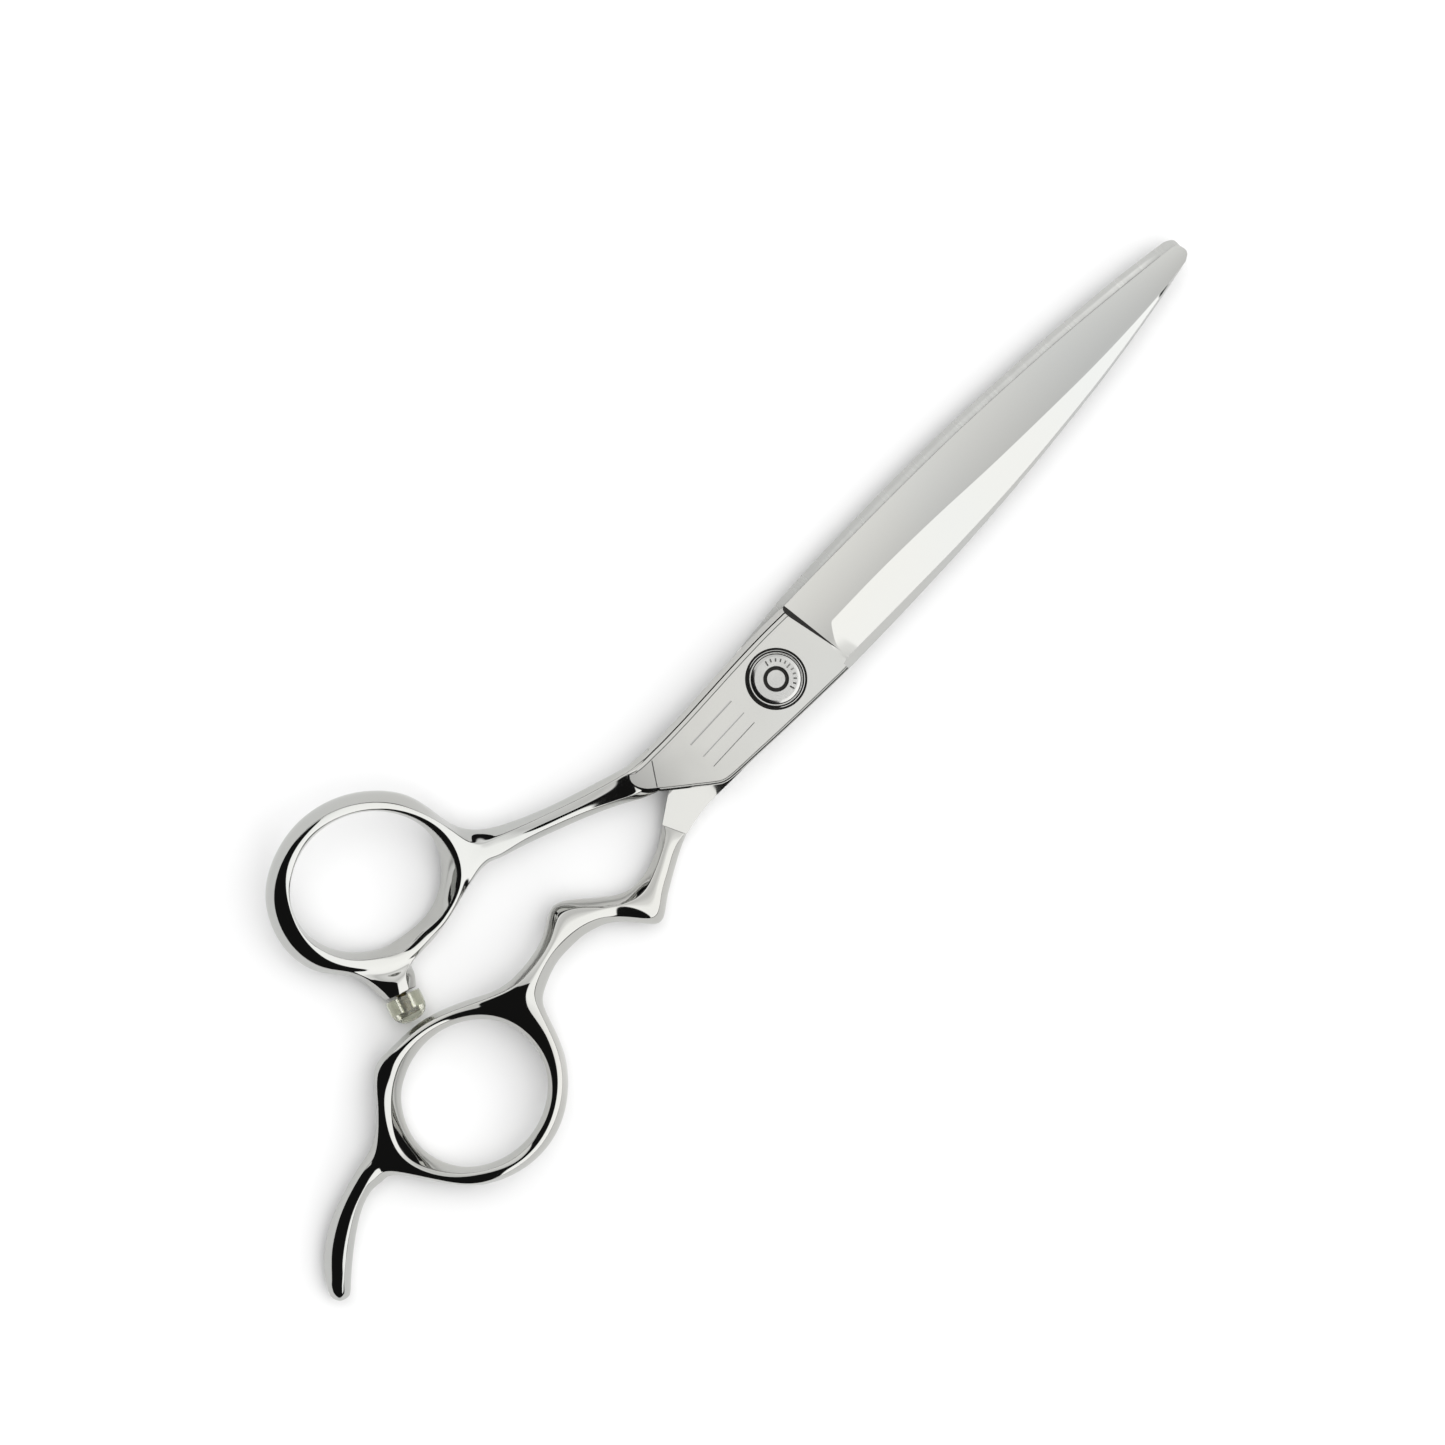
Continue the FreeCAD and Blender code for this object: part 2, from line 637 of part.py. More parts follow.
PIECES = [
    thumb_blade,
    thumb_handle,
    finger_blade,
    finger_handle,
    pivot_screw,
    blade_washer,
    pivot_bush,
    nut_ring,
    thrust_washer,
    click_spring,
    tension_nut,
    bumper_stud,
    bumper,
]


def check(doc, bodies):
    """Stops on any failed object or broken shape."""
    for item in doc.Objects:
        if "Invalid" in item.State or "Error" in item.State:
            raise RuntimeError(f"{item.Name}: {item.State}")
    for body in bodies:
        shape = body.Shape
        if shape.isNull() or not shape.isValid() or len(shape.Solids) != 1:
            raise RuntimeError(f"{body.Label}: broken shape")


def main():
    doc = FreeCAD.newDocument("shears")
    make_sheet(doc)
    bodies = [make(doc) for make in PIECES]
    doc.recompute()
    check(doc, bodies)
    os.makedirs("parts", exist_ok=True)
    for body in bodies:
        body.Shape.exportStep(f"parts/{body.Label}.step")
        box = body.Shape.optimalBoundingBox()
        print(f"{body.Label:15s} {body.Shape.Volume:9.2f} mm3", "x %.2f..%.2f y %.2f..%.2f z %.2f..%.2f" % (
            box.XMin, box.XMax, box.YMin, box.YMax, box.ZMin, box.ZMax))


main()
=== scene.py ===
"""Hair cutting shears, left-handed and closed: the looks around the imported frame.

Shapes are worked out in millimetres in the frame's own axes (+X to the tips, +Y to the thumb
ring, +Z to the thumb half) and scaled to metres when their meshes are made.
"""
import math

import bmesh
import bpy
import numpy as np
from mathutils import Matrix, Vector


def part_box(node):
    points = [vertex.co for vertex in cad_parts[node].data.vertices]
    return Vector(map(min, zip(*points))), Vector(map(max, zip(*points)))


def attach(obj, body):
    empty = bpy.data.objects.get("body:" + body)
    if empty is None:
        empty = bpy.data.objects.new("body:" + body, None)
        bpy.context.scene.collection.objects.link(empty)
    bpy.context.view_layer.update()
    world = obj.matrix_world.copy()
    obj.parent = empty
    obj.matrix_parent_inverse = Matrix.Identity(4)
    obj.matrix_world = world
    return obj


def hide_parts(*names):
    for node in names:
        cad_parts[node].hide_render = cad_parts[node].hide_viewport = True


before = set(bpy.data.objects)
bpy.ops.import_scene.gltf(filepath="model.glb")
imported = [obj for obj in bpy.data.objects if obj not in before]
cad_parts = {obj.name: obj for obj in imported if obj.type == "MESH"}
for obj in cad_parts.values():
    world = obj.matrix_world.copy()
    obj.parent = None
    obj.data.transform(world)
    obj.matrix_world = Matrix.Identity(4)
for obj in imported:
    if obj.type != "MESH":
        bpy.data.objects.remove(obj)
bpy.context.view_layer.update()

MM = 0.001


def node_box(node):
    """A CAD node's lowest and highest corners in millimetres."""
    low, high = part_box(node)
    return low / MM, high / MM


# Levels of the thumb blade's inner face and of its plate's top, which is the height of the closed pair.
THUMB_BASE = node_box("thumb_blade")[0].z
PAIR_HEIGHT = node_box("thumb_blade")[1].z
UP = Vector((0, 0, 1))


# ------------------------------------------------------------------ materials

def add_node(tree, kind, inputs=None, **settings):
    """Adds a node. Each of its inputs gets a value or a link from another node's socket."""
    node = tree.nodes.new(kind)
    for name, value in settings.items():
        setattr(node, name, value)
    for socket, value in (inputs or {}).items():
        if isinstance(value, bpy.types.NodeSocket):
            tree.links.new(value, node.inputs[socket])
        else:
            node.inputs[socket].default_value = value
    return node


class Recipe:
    """A node material with its Principled shader and short ways to add nodes."""

    def __init__(self, name, **values):
        self.material = bpy.data.materials.new(name)
        self.material.use_nodes = True
        self.tree = self.material.node_tree
        self.shader = self.tree.nodes["Principled BSDF"]
        for socket, value in values.items():
            self.shader.inputs[socket.replace("_", " ")].default_value = value

    def add(self, kind, inputs=None, **settings):
        return add_node(self.tree, kind, inputs, **settings)

    def noise(self, scale, detail=3.0, stretch=(1, 1, 1)):
        """Noise in object coordinates. Its grains are long where stretch is small."""
        coordinates = self.add("ShaderNodeTexCoord").outputs["Object"]
        place = self.add("ShaderNodeMapping", {"Vector": coordinates, "Scale": stretch}).outputs[0]
        inputs = {"Vector": place, "Scale": scale, "Detail": detail}
        return self.add("ShaderNodeTexNoise", inputs).outputs["Fac"]

    def spread(self, source, low, high, start=0.3, end=0.7):
        """Maps a source's start..end range onto low..high."""
        inputs = {"Value": source, "From Min": start, "From Max": end, "To Min": low, "To Max": high}
        return self.add("ShaderNodeMapRange", inputs).outputs[0]

    def blend(self, factor, first, second):
        """Colour between two others."""
        node = self.add("ShaderNodeMix", data_type="RGBA")
        sockets = {socket.identifier: socket for socket in node.inputs}
        self.tree.links.new(factor, sockets["Factor_Float"])
        sockets["A_Color"].default_value = (*first, 1)
        sockets["B_Color"].default_value = (*second, 1)
        return next(socket for socket in node.outputs if socket.identifier == "Result_Color")

    def wire(self, socket, source):
        self.tree.links.new(source, self.shader.inputs[socket])

    def mottle(self, source, first, second):
        """Base colour that drifts between two with a noise."""
        self.wire("Base Color", self.blend(self.spread(source, 0, 1), first, second))

    def bump(self, height, depth):
        """Bump whose full height is depth in metres."""
        self.wire("Normal", self.add("ShaderNodeBump", {"Height": height, "Distance": depth}).outputs[0])


def darker(tint, factor):
    return tuple(channel * factor for channel in tint)


WARM, COOL = (1.015, 1.0, 0.975), (0.985, 0.995, 1.0)


def polished_steel(name, tint, smudge_low, smudge_high, hairline):
    """Mirror-bright steel: wiping smears in the gloss, a slow colour drift and fine hairlines."""
    recipe = Recipe(name, Metallic=1.0)
    smears = recipe.noise(90.0, 4.0)
    recipe.wire("Roughness", recipe.spread(smears, smudge_low, smudge_high))
    warm = tuple(channel * factor for channel, factor in zip(tint, WARM))
    cool = tuple(channel * factor for channel, factor in zip(tint, COOL))
    recipe.mottle(recipe.noise(25.0, 2.0), warm, cool)
    recipe.bump(recipe.noise(900.0, 2.0, (0.03, 1, 1)), hairline)
    return recipe.material


def ground_steel(name, tint):
    """Satin steel with the fine parallel lines of a grinding wheel, which run across the blade."""
    recipe = Recipe(name, Metallic=1.0)
    lines = recipe.noise(4200.0, 3.0, (1, 0.02, 0.02))
    recipe.wire("Roughness", recipe.spread(lines, 0.26, 0.34))
    recipe.mottle(recipe.noise(240.0, 2.0, (1, 0.05, 0.05)), tint, darker(tint, 0.97))
    recipe.bump(lines, 3.0e-7)
    return recipe.material


def turned_steel(name, tint, rough):
    """Turned steel: fine rings about the pivot's axis."""
    recipe = Recipe(name, Metallic=1.0)
    coordinates = recipe.add("ShaderNodeTexCoord").outputs["Object"]
    inputs = {"Vector": coordinates, "Scale": 1500.0, "Distortion": 1.5,
              "Detail": 2.0, "Detail Scale": 40.0}
    wave = recipe.add("ShaderNodeTexWave", inputs, wave_type="RINGS", rings_direction="Z").outputs["Fac"]
    recipe.wire("Roughness", recipe.spread(wave, rough * 0.75, rough * 1.3, 0, 1))
    recipe.mottle(recipe.noise(300.0, 2.0), tint, darker(tint, 0.9))
    recipe.bump(wave, 4.0e-7)
    return recipe.material


def painted_shade_black():
    """Matt black painted shade, laid where the steel would look dark: the shoulder wall, the pivot's
    grooves and the gaps between its parts.
    """
    recipe = Recipe("painted_shade_matt_black", Specular_IOR_Level=0.12)
    scale = recipe.noise(2500.0)
    recipe.mottle(scale, (0.014, 0.014, 0.013), (0.032, 0.031, 0.029))
    recipe.wire("Roughness", recipe.spread(scale, 0.55, 0.75))
    recipe.bump(scale, 3.0e-6)
    return recipe.material


def clear_plastic():
    """Clear soft plastic, slightly yellow, with faint haze and moulding ripple."""
    recipe = Recipe("bumper_clear_plastic", IOR=1.38, Transmission_Weight=0.93)
    recipe.mottle(recipe.noise(700.0), (0.96, 0.97, 0.86), (0.91, 0.92, 0.78))
    recipe.wire("Roughness", recipe.spread(recipe.noise(400.0, 2.0), 0.05, 0.14))
    recipe.bump(recipe.noise(1200.0, 2.0), 6.0e-6)
    return recipe.material


def bearing_plastic():
    """Off-white bearing plastic with a machined grain."""
    recipe = Recipe("bearing_plastic_white", Specular_IOR_Level=0.4)
    grain = recipe.noise(1800.0)
    recipe.mottle(grain, (0.80, 0.79, 0.75), (0.72, 0.71, 0.67))
    recipe.wire("Roughness", recipe.spread(grain, 0.40, 0.58))
    recipe.bump(grain, 2.0e-6)
    return recipe.material


def shaded_dark_gilt():
    """Dark gilt of the stud inside the bumper, made near black as painted shade, with darker blotches at
    random.
    """
    recipe = Recipe("stud_gilt", Metallic=1.0)
    blotches = recipe.noise(1500.0, 4.0)
    recipe.mottle(blotches, (0.10, 0.08, 0.04), (0.02, 0.018, 0.012))
    recipe.wire("Roughness", recipe.spread(blotches, 0.30, 0.50))
    recipe.bump(blotches, 5.0e-6)
    return recipe.material


HANDLE_STEEL = polished_steel("handle_steel_polished", (0.470, 0.472, 0.458), 0.025, 0.060, 2.0e-8)
BLADE_STEEL = polished_steel("blade_steel_polished", (0.500, 0.502, 0.488), 0.05, 0.10, 4.0e-8)
INNER_STEEL = ground_steel("blade_steel_ground", (0.47, 0.473, 0.458))
NUT_STEEL = turned_steel("nut_steel_turned", (0.52, 0.52, 0.505), 0.12)
# Painted shade: the matt black put on the shoulder wall and in the pivot's grooves and gaps.
SHADOW_BLACK = painted_shade_black()
ETCHED_STEEL = ground_steel("etched_steel", (0.30, 0.30, 0.29))
SPRING_STEEL = turned_steel("spring_steel_turned", (0.55, 0.54, 0.52), 0.22)
BUMPER_PLASTIC = clear_plastic()
BEARING_PLASTIC = bearing_plastic()
STUD_GILT = shaded_dark_gilt()


# ------------------------------------------------------------------ mesh helpers

def add_object(name, data):
    thing = bpy.data.objects.new(name, data)
    bpy.context.scene.collection.objects.link(thing)
    return thing


def make_piece(name, points, faces, materials, slots=None):
    """A mesh object from millimetre points, with consistent outward faces."""
    mesh = bpy.data.meshes.new(name)
    mesh.from_pydata([Vector(point) * MM for point in points], [], faces)
    for material in materials:
        mesh.materials.append(material)
    if slots:
        mesh.polygons.foreach_set("material_index", slots)
    sheet = bmesh.new()
    sheet.from_mesh(mesh)
    bmesh.ops.recalc_face_normals(sheet, faces=sheet.faces)
    sheet.to_mesh(mesh)
    sheet.free()
    mesh.update()
    return add_object(name, mesh)


def evaluated_mesh(piece):
    graph = bpy.context.evaluated_depsgraph_get()
    return bpy.data.meshes.new_from_object(piece.evaluated_get(graph), depsgraph=graph)


def bake_modifiers(piece):
    """Applies a piece's modifiers to its mesh."""
    mesh = evaluated_mesh(piece)
    old = piece.data
    piece.modifiers.clear()
    piece.data = mesh
    bpy.data.meshes.remove(old)
    return piece


def smooth_shade(piece, sharp_degrees=None):
    piece.data.shade_smooth()
    if sharp_degrees:
        piece.data.set_sharp_from_angle(angle=math.radians(sharp_degrees))


def finish_piece(piece, body, slot, *nodes):
    """Makes a piece ride on a body and lets it stand for its CAD nodes. Its slot, the finish's name, is not
    used.
    """
    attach(piece, body)
    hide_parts(*nodes)


def spline_through(places, parts):
    """Catmull-Rom points through a row of places, with each span in equal parts."""
    points = [Vector(place) for place in places]
    path = []
    for index in range(len(points) - 1):
        before, after = points[max(index - 1, 0)], points[min(index + 2, len(points) - 1)]
        start, end = points[index:index + 2]
        for part in range(parts):
            t = part / parts
            path.append(0.5 * (2 * start + (end - before) * t
                               + (2 * before - 5 * start + 4 * end - after) * t ** 2
                               + (3 * start - before - 3 * end + after) * t ** 3))
    return path + [points[-1]]


# ------------------------------------------------------------------ handle cages

class Cage:
    """Subdivision cage of a handle. Its points are where the smooth surface has to pass."""

    def __init__(self):
        self.targets = []
        self.faces = []
        self.creases = {}

    def add_loop(self, points):
        first = len(self.targets)
        self.targets.extend(Vector(point) for point in points)
        return list(range(first, first + len(points)))

    def bridge(self, one, other):
        for index in range(len(one)):
            following = (index + 1) % len(one)
            self.faces.append((one[index], one[following], other[following], other[index]))

    def cap(self, loop, point=None):
        """Closes an eight-point loop with four faces round a point, or else round its own middle."""
        if point is None:
            point = sum((self.targets[index] for index in loop), Vector()) / len(loop)
        middle, = self.add_loop([point])
        for index in range(0, 8, 2):
            self.faces.append((middle, loop[index], loop[index + 1], loop[(index + 2) % 8]))

    def crease(self, indices, weight, closed=False):
        pairs = list(zip(indices, indices[1:]))
        if closed:
            pairs.append((indices[-1], indices[0]))
        for one, other in pairs:
            self.creases[frozenset((one, other))] = weight

    def build(self, name, material, levels=4, rounds=9):
        """Moves the cage until the subdivided surface passes through every target."""
        piece = make_piece(name, self.targets, self.faces, [material])
        mesh = piece.data
        crease = mesh.attributes.new("crease_edge", "FLOAT", "EDGE")
        for edge in mesh.edges:
            crease.data[edge.index].value = self.creases.get(frozenset(edge.vertices), 0.0)
        smoothing = piece.modifiers.new("round", "SUBSURF")
        smoothing.levels = smoothing.render_levels = 1
        target = np.array([list(point) for point in self.targets]) * MM
        cage = target.copy()
        for _ in range(rounds):
            mesh.vertices.foreach_set("co", cage.astype(np.float32).ravel())
            mesh.update()
            result = evaluated_mesh(piece)
            found = np.zeros(len(result.vertices) * 3, np.float32)
            result.vertices.foreach_get("co", found)
            bpy.data.meshes.remove(result)
            cage += 0.8 * (target - found.reshape(-1, 3)[:len(target)])
        mesh.vertices.foreach_set("co", cage.astype(np.float32).ravel())
        smoothing.levels = smoothing.render_levels = levels
        bake_modifiers(piece)
        smooth_shade(piece)
        return piece


def section(middle, across, upward, half_wide, half_high,
            near=0.5, far=0.5, crest=0.0, high=0.9, slant=0.0, flare=0.0, side=1.0):
    """Eight points of a section, from its near side over the top and back underneath.

    near, far and crest place the top's two corners and its middle as shares of the half width. high
    is the corners' share of the half height, and slant lowers the near side of the top by degrees.
    side is the near side's share at middle height. flare moves the far side in at middle height and
    out below.
    """
    fall = math.tan(math.radians(slant)) * half_wide / half_high
    shares = [(side, 0), (near, high - fall * near), (crest, 1 - fall * crest), (-far, high + fall * far),
              (flare - 1, 0), (-0.7 - flare, -0.8), (0, -1), (0.7, -0.8)]
    return [middle + across * (half_wide * wide) + upward * (half_high * rise) for wide, rise in shares]


class Ring:
    """A finger ring. Its hole is an oval as seen from above, and its band leans with the tilt."""

    def __init__(self, centre, hole, turn, tilt, height):
        self.centre = Vector(centre)
        self.hole = hole
        self.turn = math.radians(turn)
        self.tilt = math.radians(tilt)
        self.height = height
        rise = self.turn + math.pi / 2
        self.uphill = Vector((math.cos(rise), math.sin(rise), 0))
        self.axis = UP * math.cos(self.tilt) - self.uphill * math.sin(self.tilt)

    def loop(self, angle, wide, join=0.0, square=0.97, **shape):
        """The band's section at an angle, with its width as seen from above.

        join moves the outer side's corners out to where a limb grows from it, and square is the height
        of the top one there.
        """
        turn = math.radians(angle)
        outward = Vector((math.cos(turn), math.sin(turn), 0))
        long_half, short_half = self.hole
        swing = turn - self.turn
        spread = math.hypot(short_half * math.cos(swing), long_half * math.sin(swing))
        inner = long_half * short_half / spread
        middle = self.centre + outward * (inner + wide / 2)
        slope = outward.dot(self.uphill) * math.tan(self.tilt)
        middle.z += (inner + wide / 2) * slope
        along = Vector((outward.x, outward.y, slope)).normalized()
        half_high = self.height / 2
        seen_high = half_high * abs(outward.dot(self.axis))
        half_wide = math.sqrt(max((wide / 2) ** 2 - seen_high ** 2, 0.25)) / along.dot(outward)
        points = section(middle, along, self.axis, half_wide, half_high, **shape)
        for index, side in ((1, 1), (7, -1)):
            rise = square if side == 1 else -0.97
            squared = middle + along * (half_wide * 0.9) + self.axis * (half_high * rise)
            points[index] = points[index].lerp(squared, join)
        return points


# Places of the top's two corner lines in a ring's loops and in a limb's, and how sharp they are.
RING_SHOULDERS = (1, 3)
LIMB_SHOULDERS = (2, 4)
SHOULDER_CREASE = 0.58


def add_ring(cage, ring, stations, junctions):
    """Lays the ring's band and leaves an opening at each junction, which is a station's number."""
    loops = [cage.add_loop(ring.loop(**station)) for station in stations]
    holes = {}
    for index, loop in enumerate(loops):
        following = loops[(index + 1) % len(loops)]
        open_span = index in junctions or (index + 1) % len(loops) in junctions
        for side in range(8):
            if open_span and side in (7, 0):
                continue
            after = (side + 1) % 8
            cage.faces.append((loop[side], loop[after], following[after], following[side]))
        for side in RING_SHOULDERS:
            if side == 3 or not open_span:
                cage.crease((loop[side], following[side]), SHOULDER_CREASE)
    for index in junctions:
        before, here, after = loops[index - 1], loops[index], loops[(index + 1) % len(loops)]
        holes[index] = [after[7], after[0], after[1], here[1], before[1], before[0], before[7], here[7]]
    return holes


def limb_loop(cage, left, right, level, thick, roll=0.0, **shape):
    """A limb's section between its two sides as seen from above. Its right side is the near one."""
    left, right = Vector((*left, level)), Vector((*right, level))
    middle = (left + right) / 2
    across = (right - left).normalized()
    forward = UP.cross(across)
    twist = Matrix.Rotation(math.radians(roll), 3, forward)
    across, upward = twist @ across, twist @ UP
    half_wide = (right - left).length / 2
    points = section(middle, across, upward, half_wide, thick / 2, **shape)
    order = (5, 4, 3, 2, 1, 0, 7, 6)
    return cage.add_loop([points[index] for index in order])


def add_limb(cage, opening, stations):
    """Bridges an opening through a limb's stations and returns its loops."""
    loops = [opening]
    for station in stations:
        loops.append(limb_loop(cage, *station[:4], **(station[4] if len(station) > 4 else {})))
        cage.bridge(loops[-2], loops[-1])
        for side in LIMB_SHOULDERS:
            cage.crease((loops[-2][side], loops[-1][side]), SHOULDER_CREASE)
    return loops


def drop_unused(cage):
    """Removes the targets that no face uses."""
    used = sorted({index for face in cage.faces for index in face})
    renumber = {old: new for new, old in enumerate(used)}
    cage.targets = [cage.targets[old] for old in used]
    cage.faces = [tuple(renumber[index] for index in face) for face in cage.faces]
    cage.creases = {
        frozenset(renumber[index] for index in pair): weight
        for pair, weight in cage.creases.items() if all(index in renumber for index in pair)}


THUMB_RING = Ring(centre=(-56.9, 21.6, 6.1), hole=(10.5, 8.95), turn=-13, tilt=19, height=4.3)
FINGER_RING = Ring(centre=(-67.9, -8.0, 3.85), hole=(9.35, 10.3), turn=-90, tilt=3, height=4.4)


def band(angle, wide, **more):
    return {"angle": angle, "wide": wide, **more}


def thumb_handle():
    """Thumb ring, shank to the plate, and the boss that carries the bumper."""
    cage = Cage()
    stations = [
        band(-66, 2.65, join=0.3, near=0.5, far=0.15, crest=0.15, flare=0.2),
        band(-40, 2.9, join=1.0, far=-0.2, crest=0.5, flare=0.25),
        band(-12, 2.95, near=0.85, far=0.3, crest=0.3, flare=0.1),
        band(14, 2.8, near=0.3, far=0.45, crest=-0.05, slant=2, side=0.88),
        band(40, 2.8, near=0.34, far=0.45, crest=-0.1, high=0.93, side=0.83),
        band(66, 2.9, near=0.42, far=0.42, crest=-0.02, high=0.93, side=0.79),
        band(92, 3.0, near=0.4, far=0.45, crest=-0.05, high=0.92, side=0.79),
        band(118, 3.1, near=0.38, far=0.72, crest=-0.2, slant=4, high=0.88, side=0.84),
        band(144, 3.4, near=0.3, far=0.88, crest=-0.65, slant=10, side=0.9),
        band(170, 3.5, near=0.28, far=0.93, crest=-0.72, slant=8),
        band(193, 3.6, near=0.28, far=0.89, crest=-0.5, slant=6),
        band(213, 3.3, join=0.1, near=0.28, far=0.82, crest=-0.2, slant=6),
        band(233, 3.1, join=0.8, far=0.72),
        band(252, 3.4, join=0.3, near=0.4, far=0.6, flare=0.25),
        band(273, 2.75, near=0.25, far=0.78, flare=0.25),
    ]
    holes = add_ring(cage, THUMB_RING, stations, (1, 12))
    shank = add_limb(cage, holes[1], [
        ((-42.4, 16.3), (-45.6, 11.55), 4.1, 4.4, {"roll": 16, "near": 0.7, "far": 0.55, "crest": 0.1}),
        ((-40.6, 14.5), (-42.6, 10.85), 3.9, 4.4, {"roll": 11, "near": 0.65, "far": 0.5, "crest": 0.1}),
        ((-37.6, 12.75), (-39.2, 9.6), 3.65, 4.3, {"roll": 5, "near": 0.55, "far": 0.5, "crest": 0.1}),
        ((-33.5, 10.85), (-34.9, 7.85), 3.8, 4.1, {"near": 0.55, "far": 0.5, "crest": 0.1}),
        ((-28.7, 9.0), (-30.1, 5.75), 4.06, 3.8, {"near": 0.6, "far": 0.5, "crest": 0.1, "high": 0.91}),
        ((-24.2, 7.4), (-25.8, 3.5), 4.43, 3.3, {"near": 0.66, "far": 0.6, "high": 0.94}),
        ((-21.6, 6.62), (-23.9, 2.35), 4.68, 3.0, {"near": 0.6, "far": 0.66, "high": 0.95}),
        ((-18.4, 6.25), (-21.6, 1.3), 4.6, 2.7, {"near": 0.6, "far": 0.66, "high": 0.95}),
    ])
    cage.cap(shank[-1])
    cage.crease(shank[-1], 1.0, closed=True)
    boss = add_limb(cage, holes[12], [
        ((-61.5, 9.0), (-67.1, 11.3), 2.75, 4.3, {"near": 0.65, "far": 0.65, "high": 0.84, "crest": -0.1}),
        ((-62.8, 7.45), (-66.95, 9.1), 2.7, 4.1, {"near": 0.65, "far": 0.6, "high": 0.84}),
    ])
    cage.cap(boss[-1])
    cage.crease(boss[-1], 0.85, closed=True)
    drop_unused(cage)
    return cage.build("thumb_handle_polished", HANDLE_STEEL)


def finger_handle():
    """Finger ring, zigzag shank with two finger grooves, and the fixed rest."""
    cage = Cage()
    stations = [
        band(-21, 3.0, join=0.4, near=0.5, far=0.55, square=1.02),
        band(12, 2.9, join=1.0, far=0.5, square=1.06),
        band(43, 2.8, join=0.4, near=0.4, far=0.45, square=1.02),
        band(75, 2.5, near=0.55, far=0.35, crest=0.1),
        band(102, 3.1, near=0.65, far=0.3, crest=0.2),
        band(120, 4.15, near=0.65, far=0.45, crest=0.1, slant=5),
        band(141, 3.3, join=0.5, near=0.6, far=0.3, crest=0.2, slant=-2),
        band(172, 3.0, join=1.0, far=-0.25, crest=0.55, slant=-6, flare=0.1),
        band(202, 2.65, join=0.2, near=0.5, far=0.35, crest=0.1),
        band(228, 2.55, near=0.6, far=0.6, crest=-0.15, slant=4),
        band(254, 2.62, near=0.45, far=0.5),
        band(280, 2.74, near=0.42, far=0.5),
        band(308, 2.72, near=0.5, far=0.45),
    ]
    holes = add_ring(cage, FINGER_RING, stations, (1, 7))
    shank = add_limb(cage, holes[1], [
        ((-55.2, -0.95), (-53.3, -7.5), 4.75, 4.4, {"near": 0.7, "far": 0.75}),
        ((-52.1, -1.4), (-51.2, -5.4), 4.85, 4.4, {"near": 0.4, "far": 0.5}),
        ((-48.2, -1.05), (-48.0, -4.3), 4.55, 4.3, {"near": 0.3, "far": 0.35}),
        ((-45.2, 0.1), (-45.2, -4.15), 4.1, 4.3, {"near": 0.4, "far": 0.35}),
        ((-42.4, 1.2), (-42.7, -4.35), 3.65, 4.3, {"near": 0.55, "far": 0.45}),
        ((-39.6, -0.5), (-40.7, -4.95), 3.3, 4.3, {"near": 0.5, "far": 0.45}),
        ((-36.9, -3.0), (-38.9, -5.9), 2.95, 4.3, {"near": 0.5, "far": 0.3, "crest": -0.1, "slant": 5}),
        ((-34.7, -4.5), (-36.6, -8.3), 2.85, 4.3, {"near": 0.62, "far": 0.4, "crest": -0.1, "slant": 7}),
        ((-32.6, -4.95), (-34.4, -10.7), 2.75, 4.2, {"near": 0.62, "far": 0.5}),
        ((-30.2, -4.65), (-31.7, -9.45), 2.6, 4.2, {"near": 0.5, "far": 0.5}),
        ((-27.4, -3.7), (-28.7, -7.75), 2.35, 4.0, {"near": 0.5, "far": 0.5}),
        ((-25.6, -2.7), (-25.6, -6.2), 1.85, 3.5, {"near": 0.55, "far": 0.5}),
        ((-24.6, -2.1), (-23.3, -5.3), 1.55, 3.08, {"near": 0.85, "far": 0.85, "high": 0.97}),
    ])
    cage.cap(shank[-1])
    cage.crease(shank[-1], 1.0, closed=True)
    rest = add_limb(cage, holes[7], [
        ((-82.9, -8.0), (-82.0, -2.5), 3.05, 4.2, {"near": 0.65, "far": 0.7}),
        ((-84.8, -7.0), (-84.6, -3.25), 2.98, 4.1, {"near": 0.5, "far": 0.5}),
        ((-86.9, -6.8), (-86.9, -3.65), 2.9, 4.0, {"near": 0.45, "far": 0.5, "crest": -0.3}),
        ((-89.7, -7.6), (-90.4, -4.5), 2.8, 3.9, {"near": 0.42, "far": 0.6, "crest": -0.35}),
        ((-92.7, -9.3), (-94.1, -5.85), 2.7, 3.8, {"near": 0.38, "far": 0.62, "crest": -0.35}),
        ((-95.4, -11.2), (-97.5, -8.0), 2.6, 3.7, {"near": 0.32, "far": 0.62, "crest": -0.35}),
        ((-97.9, -13.2), (-100.0, -10.6), 2.5, 3.4, {"near": 0.4, "far": 0.55, "crest": -0.2, "slant": 4}),
        ((-99.2, -14.15), (-101.0, -12.4), 2.35, 2.2, {"near": 0.5, "far": 0.5, "high": 0.8, "slant": 4}),
    ])
    cage.cap(rest[-1], Vector((-100.6, -13.8, 2.2)))
    # The rest's shoulders fade out in its round tip.
    for side in LIMB_SHOULDERS:
        cage.crease((rest[-2][side], rest[-1][side]), 0.0)
    drop_unused(cage)
    return cage.build("finger_handle_polished", HANDLE_STEEL)


# ------------------------------------------------------------------ blades

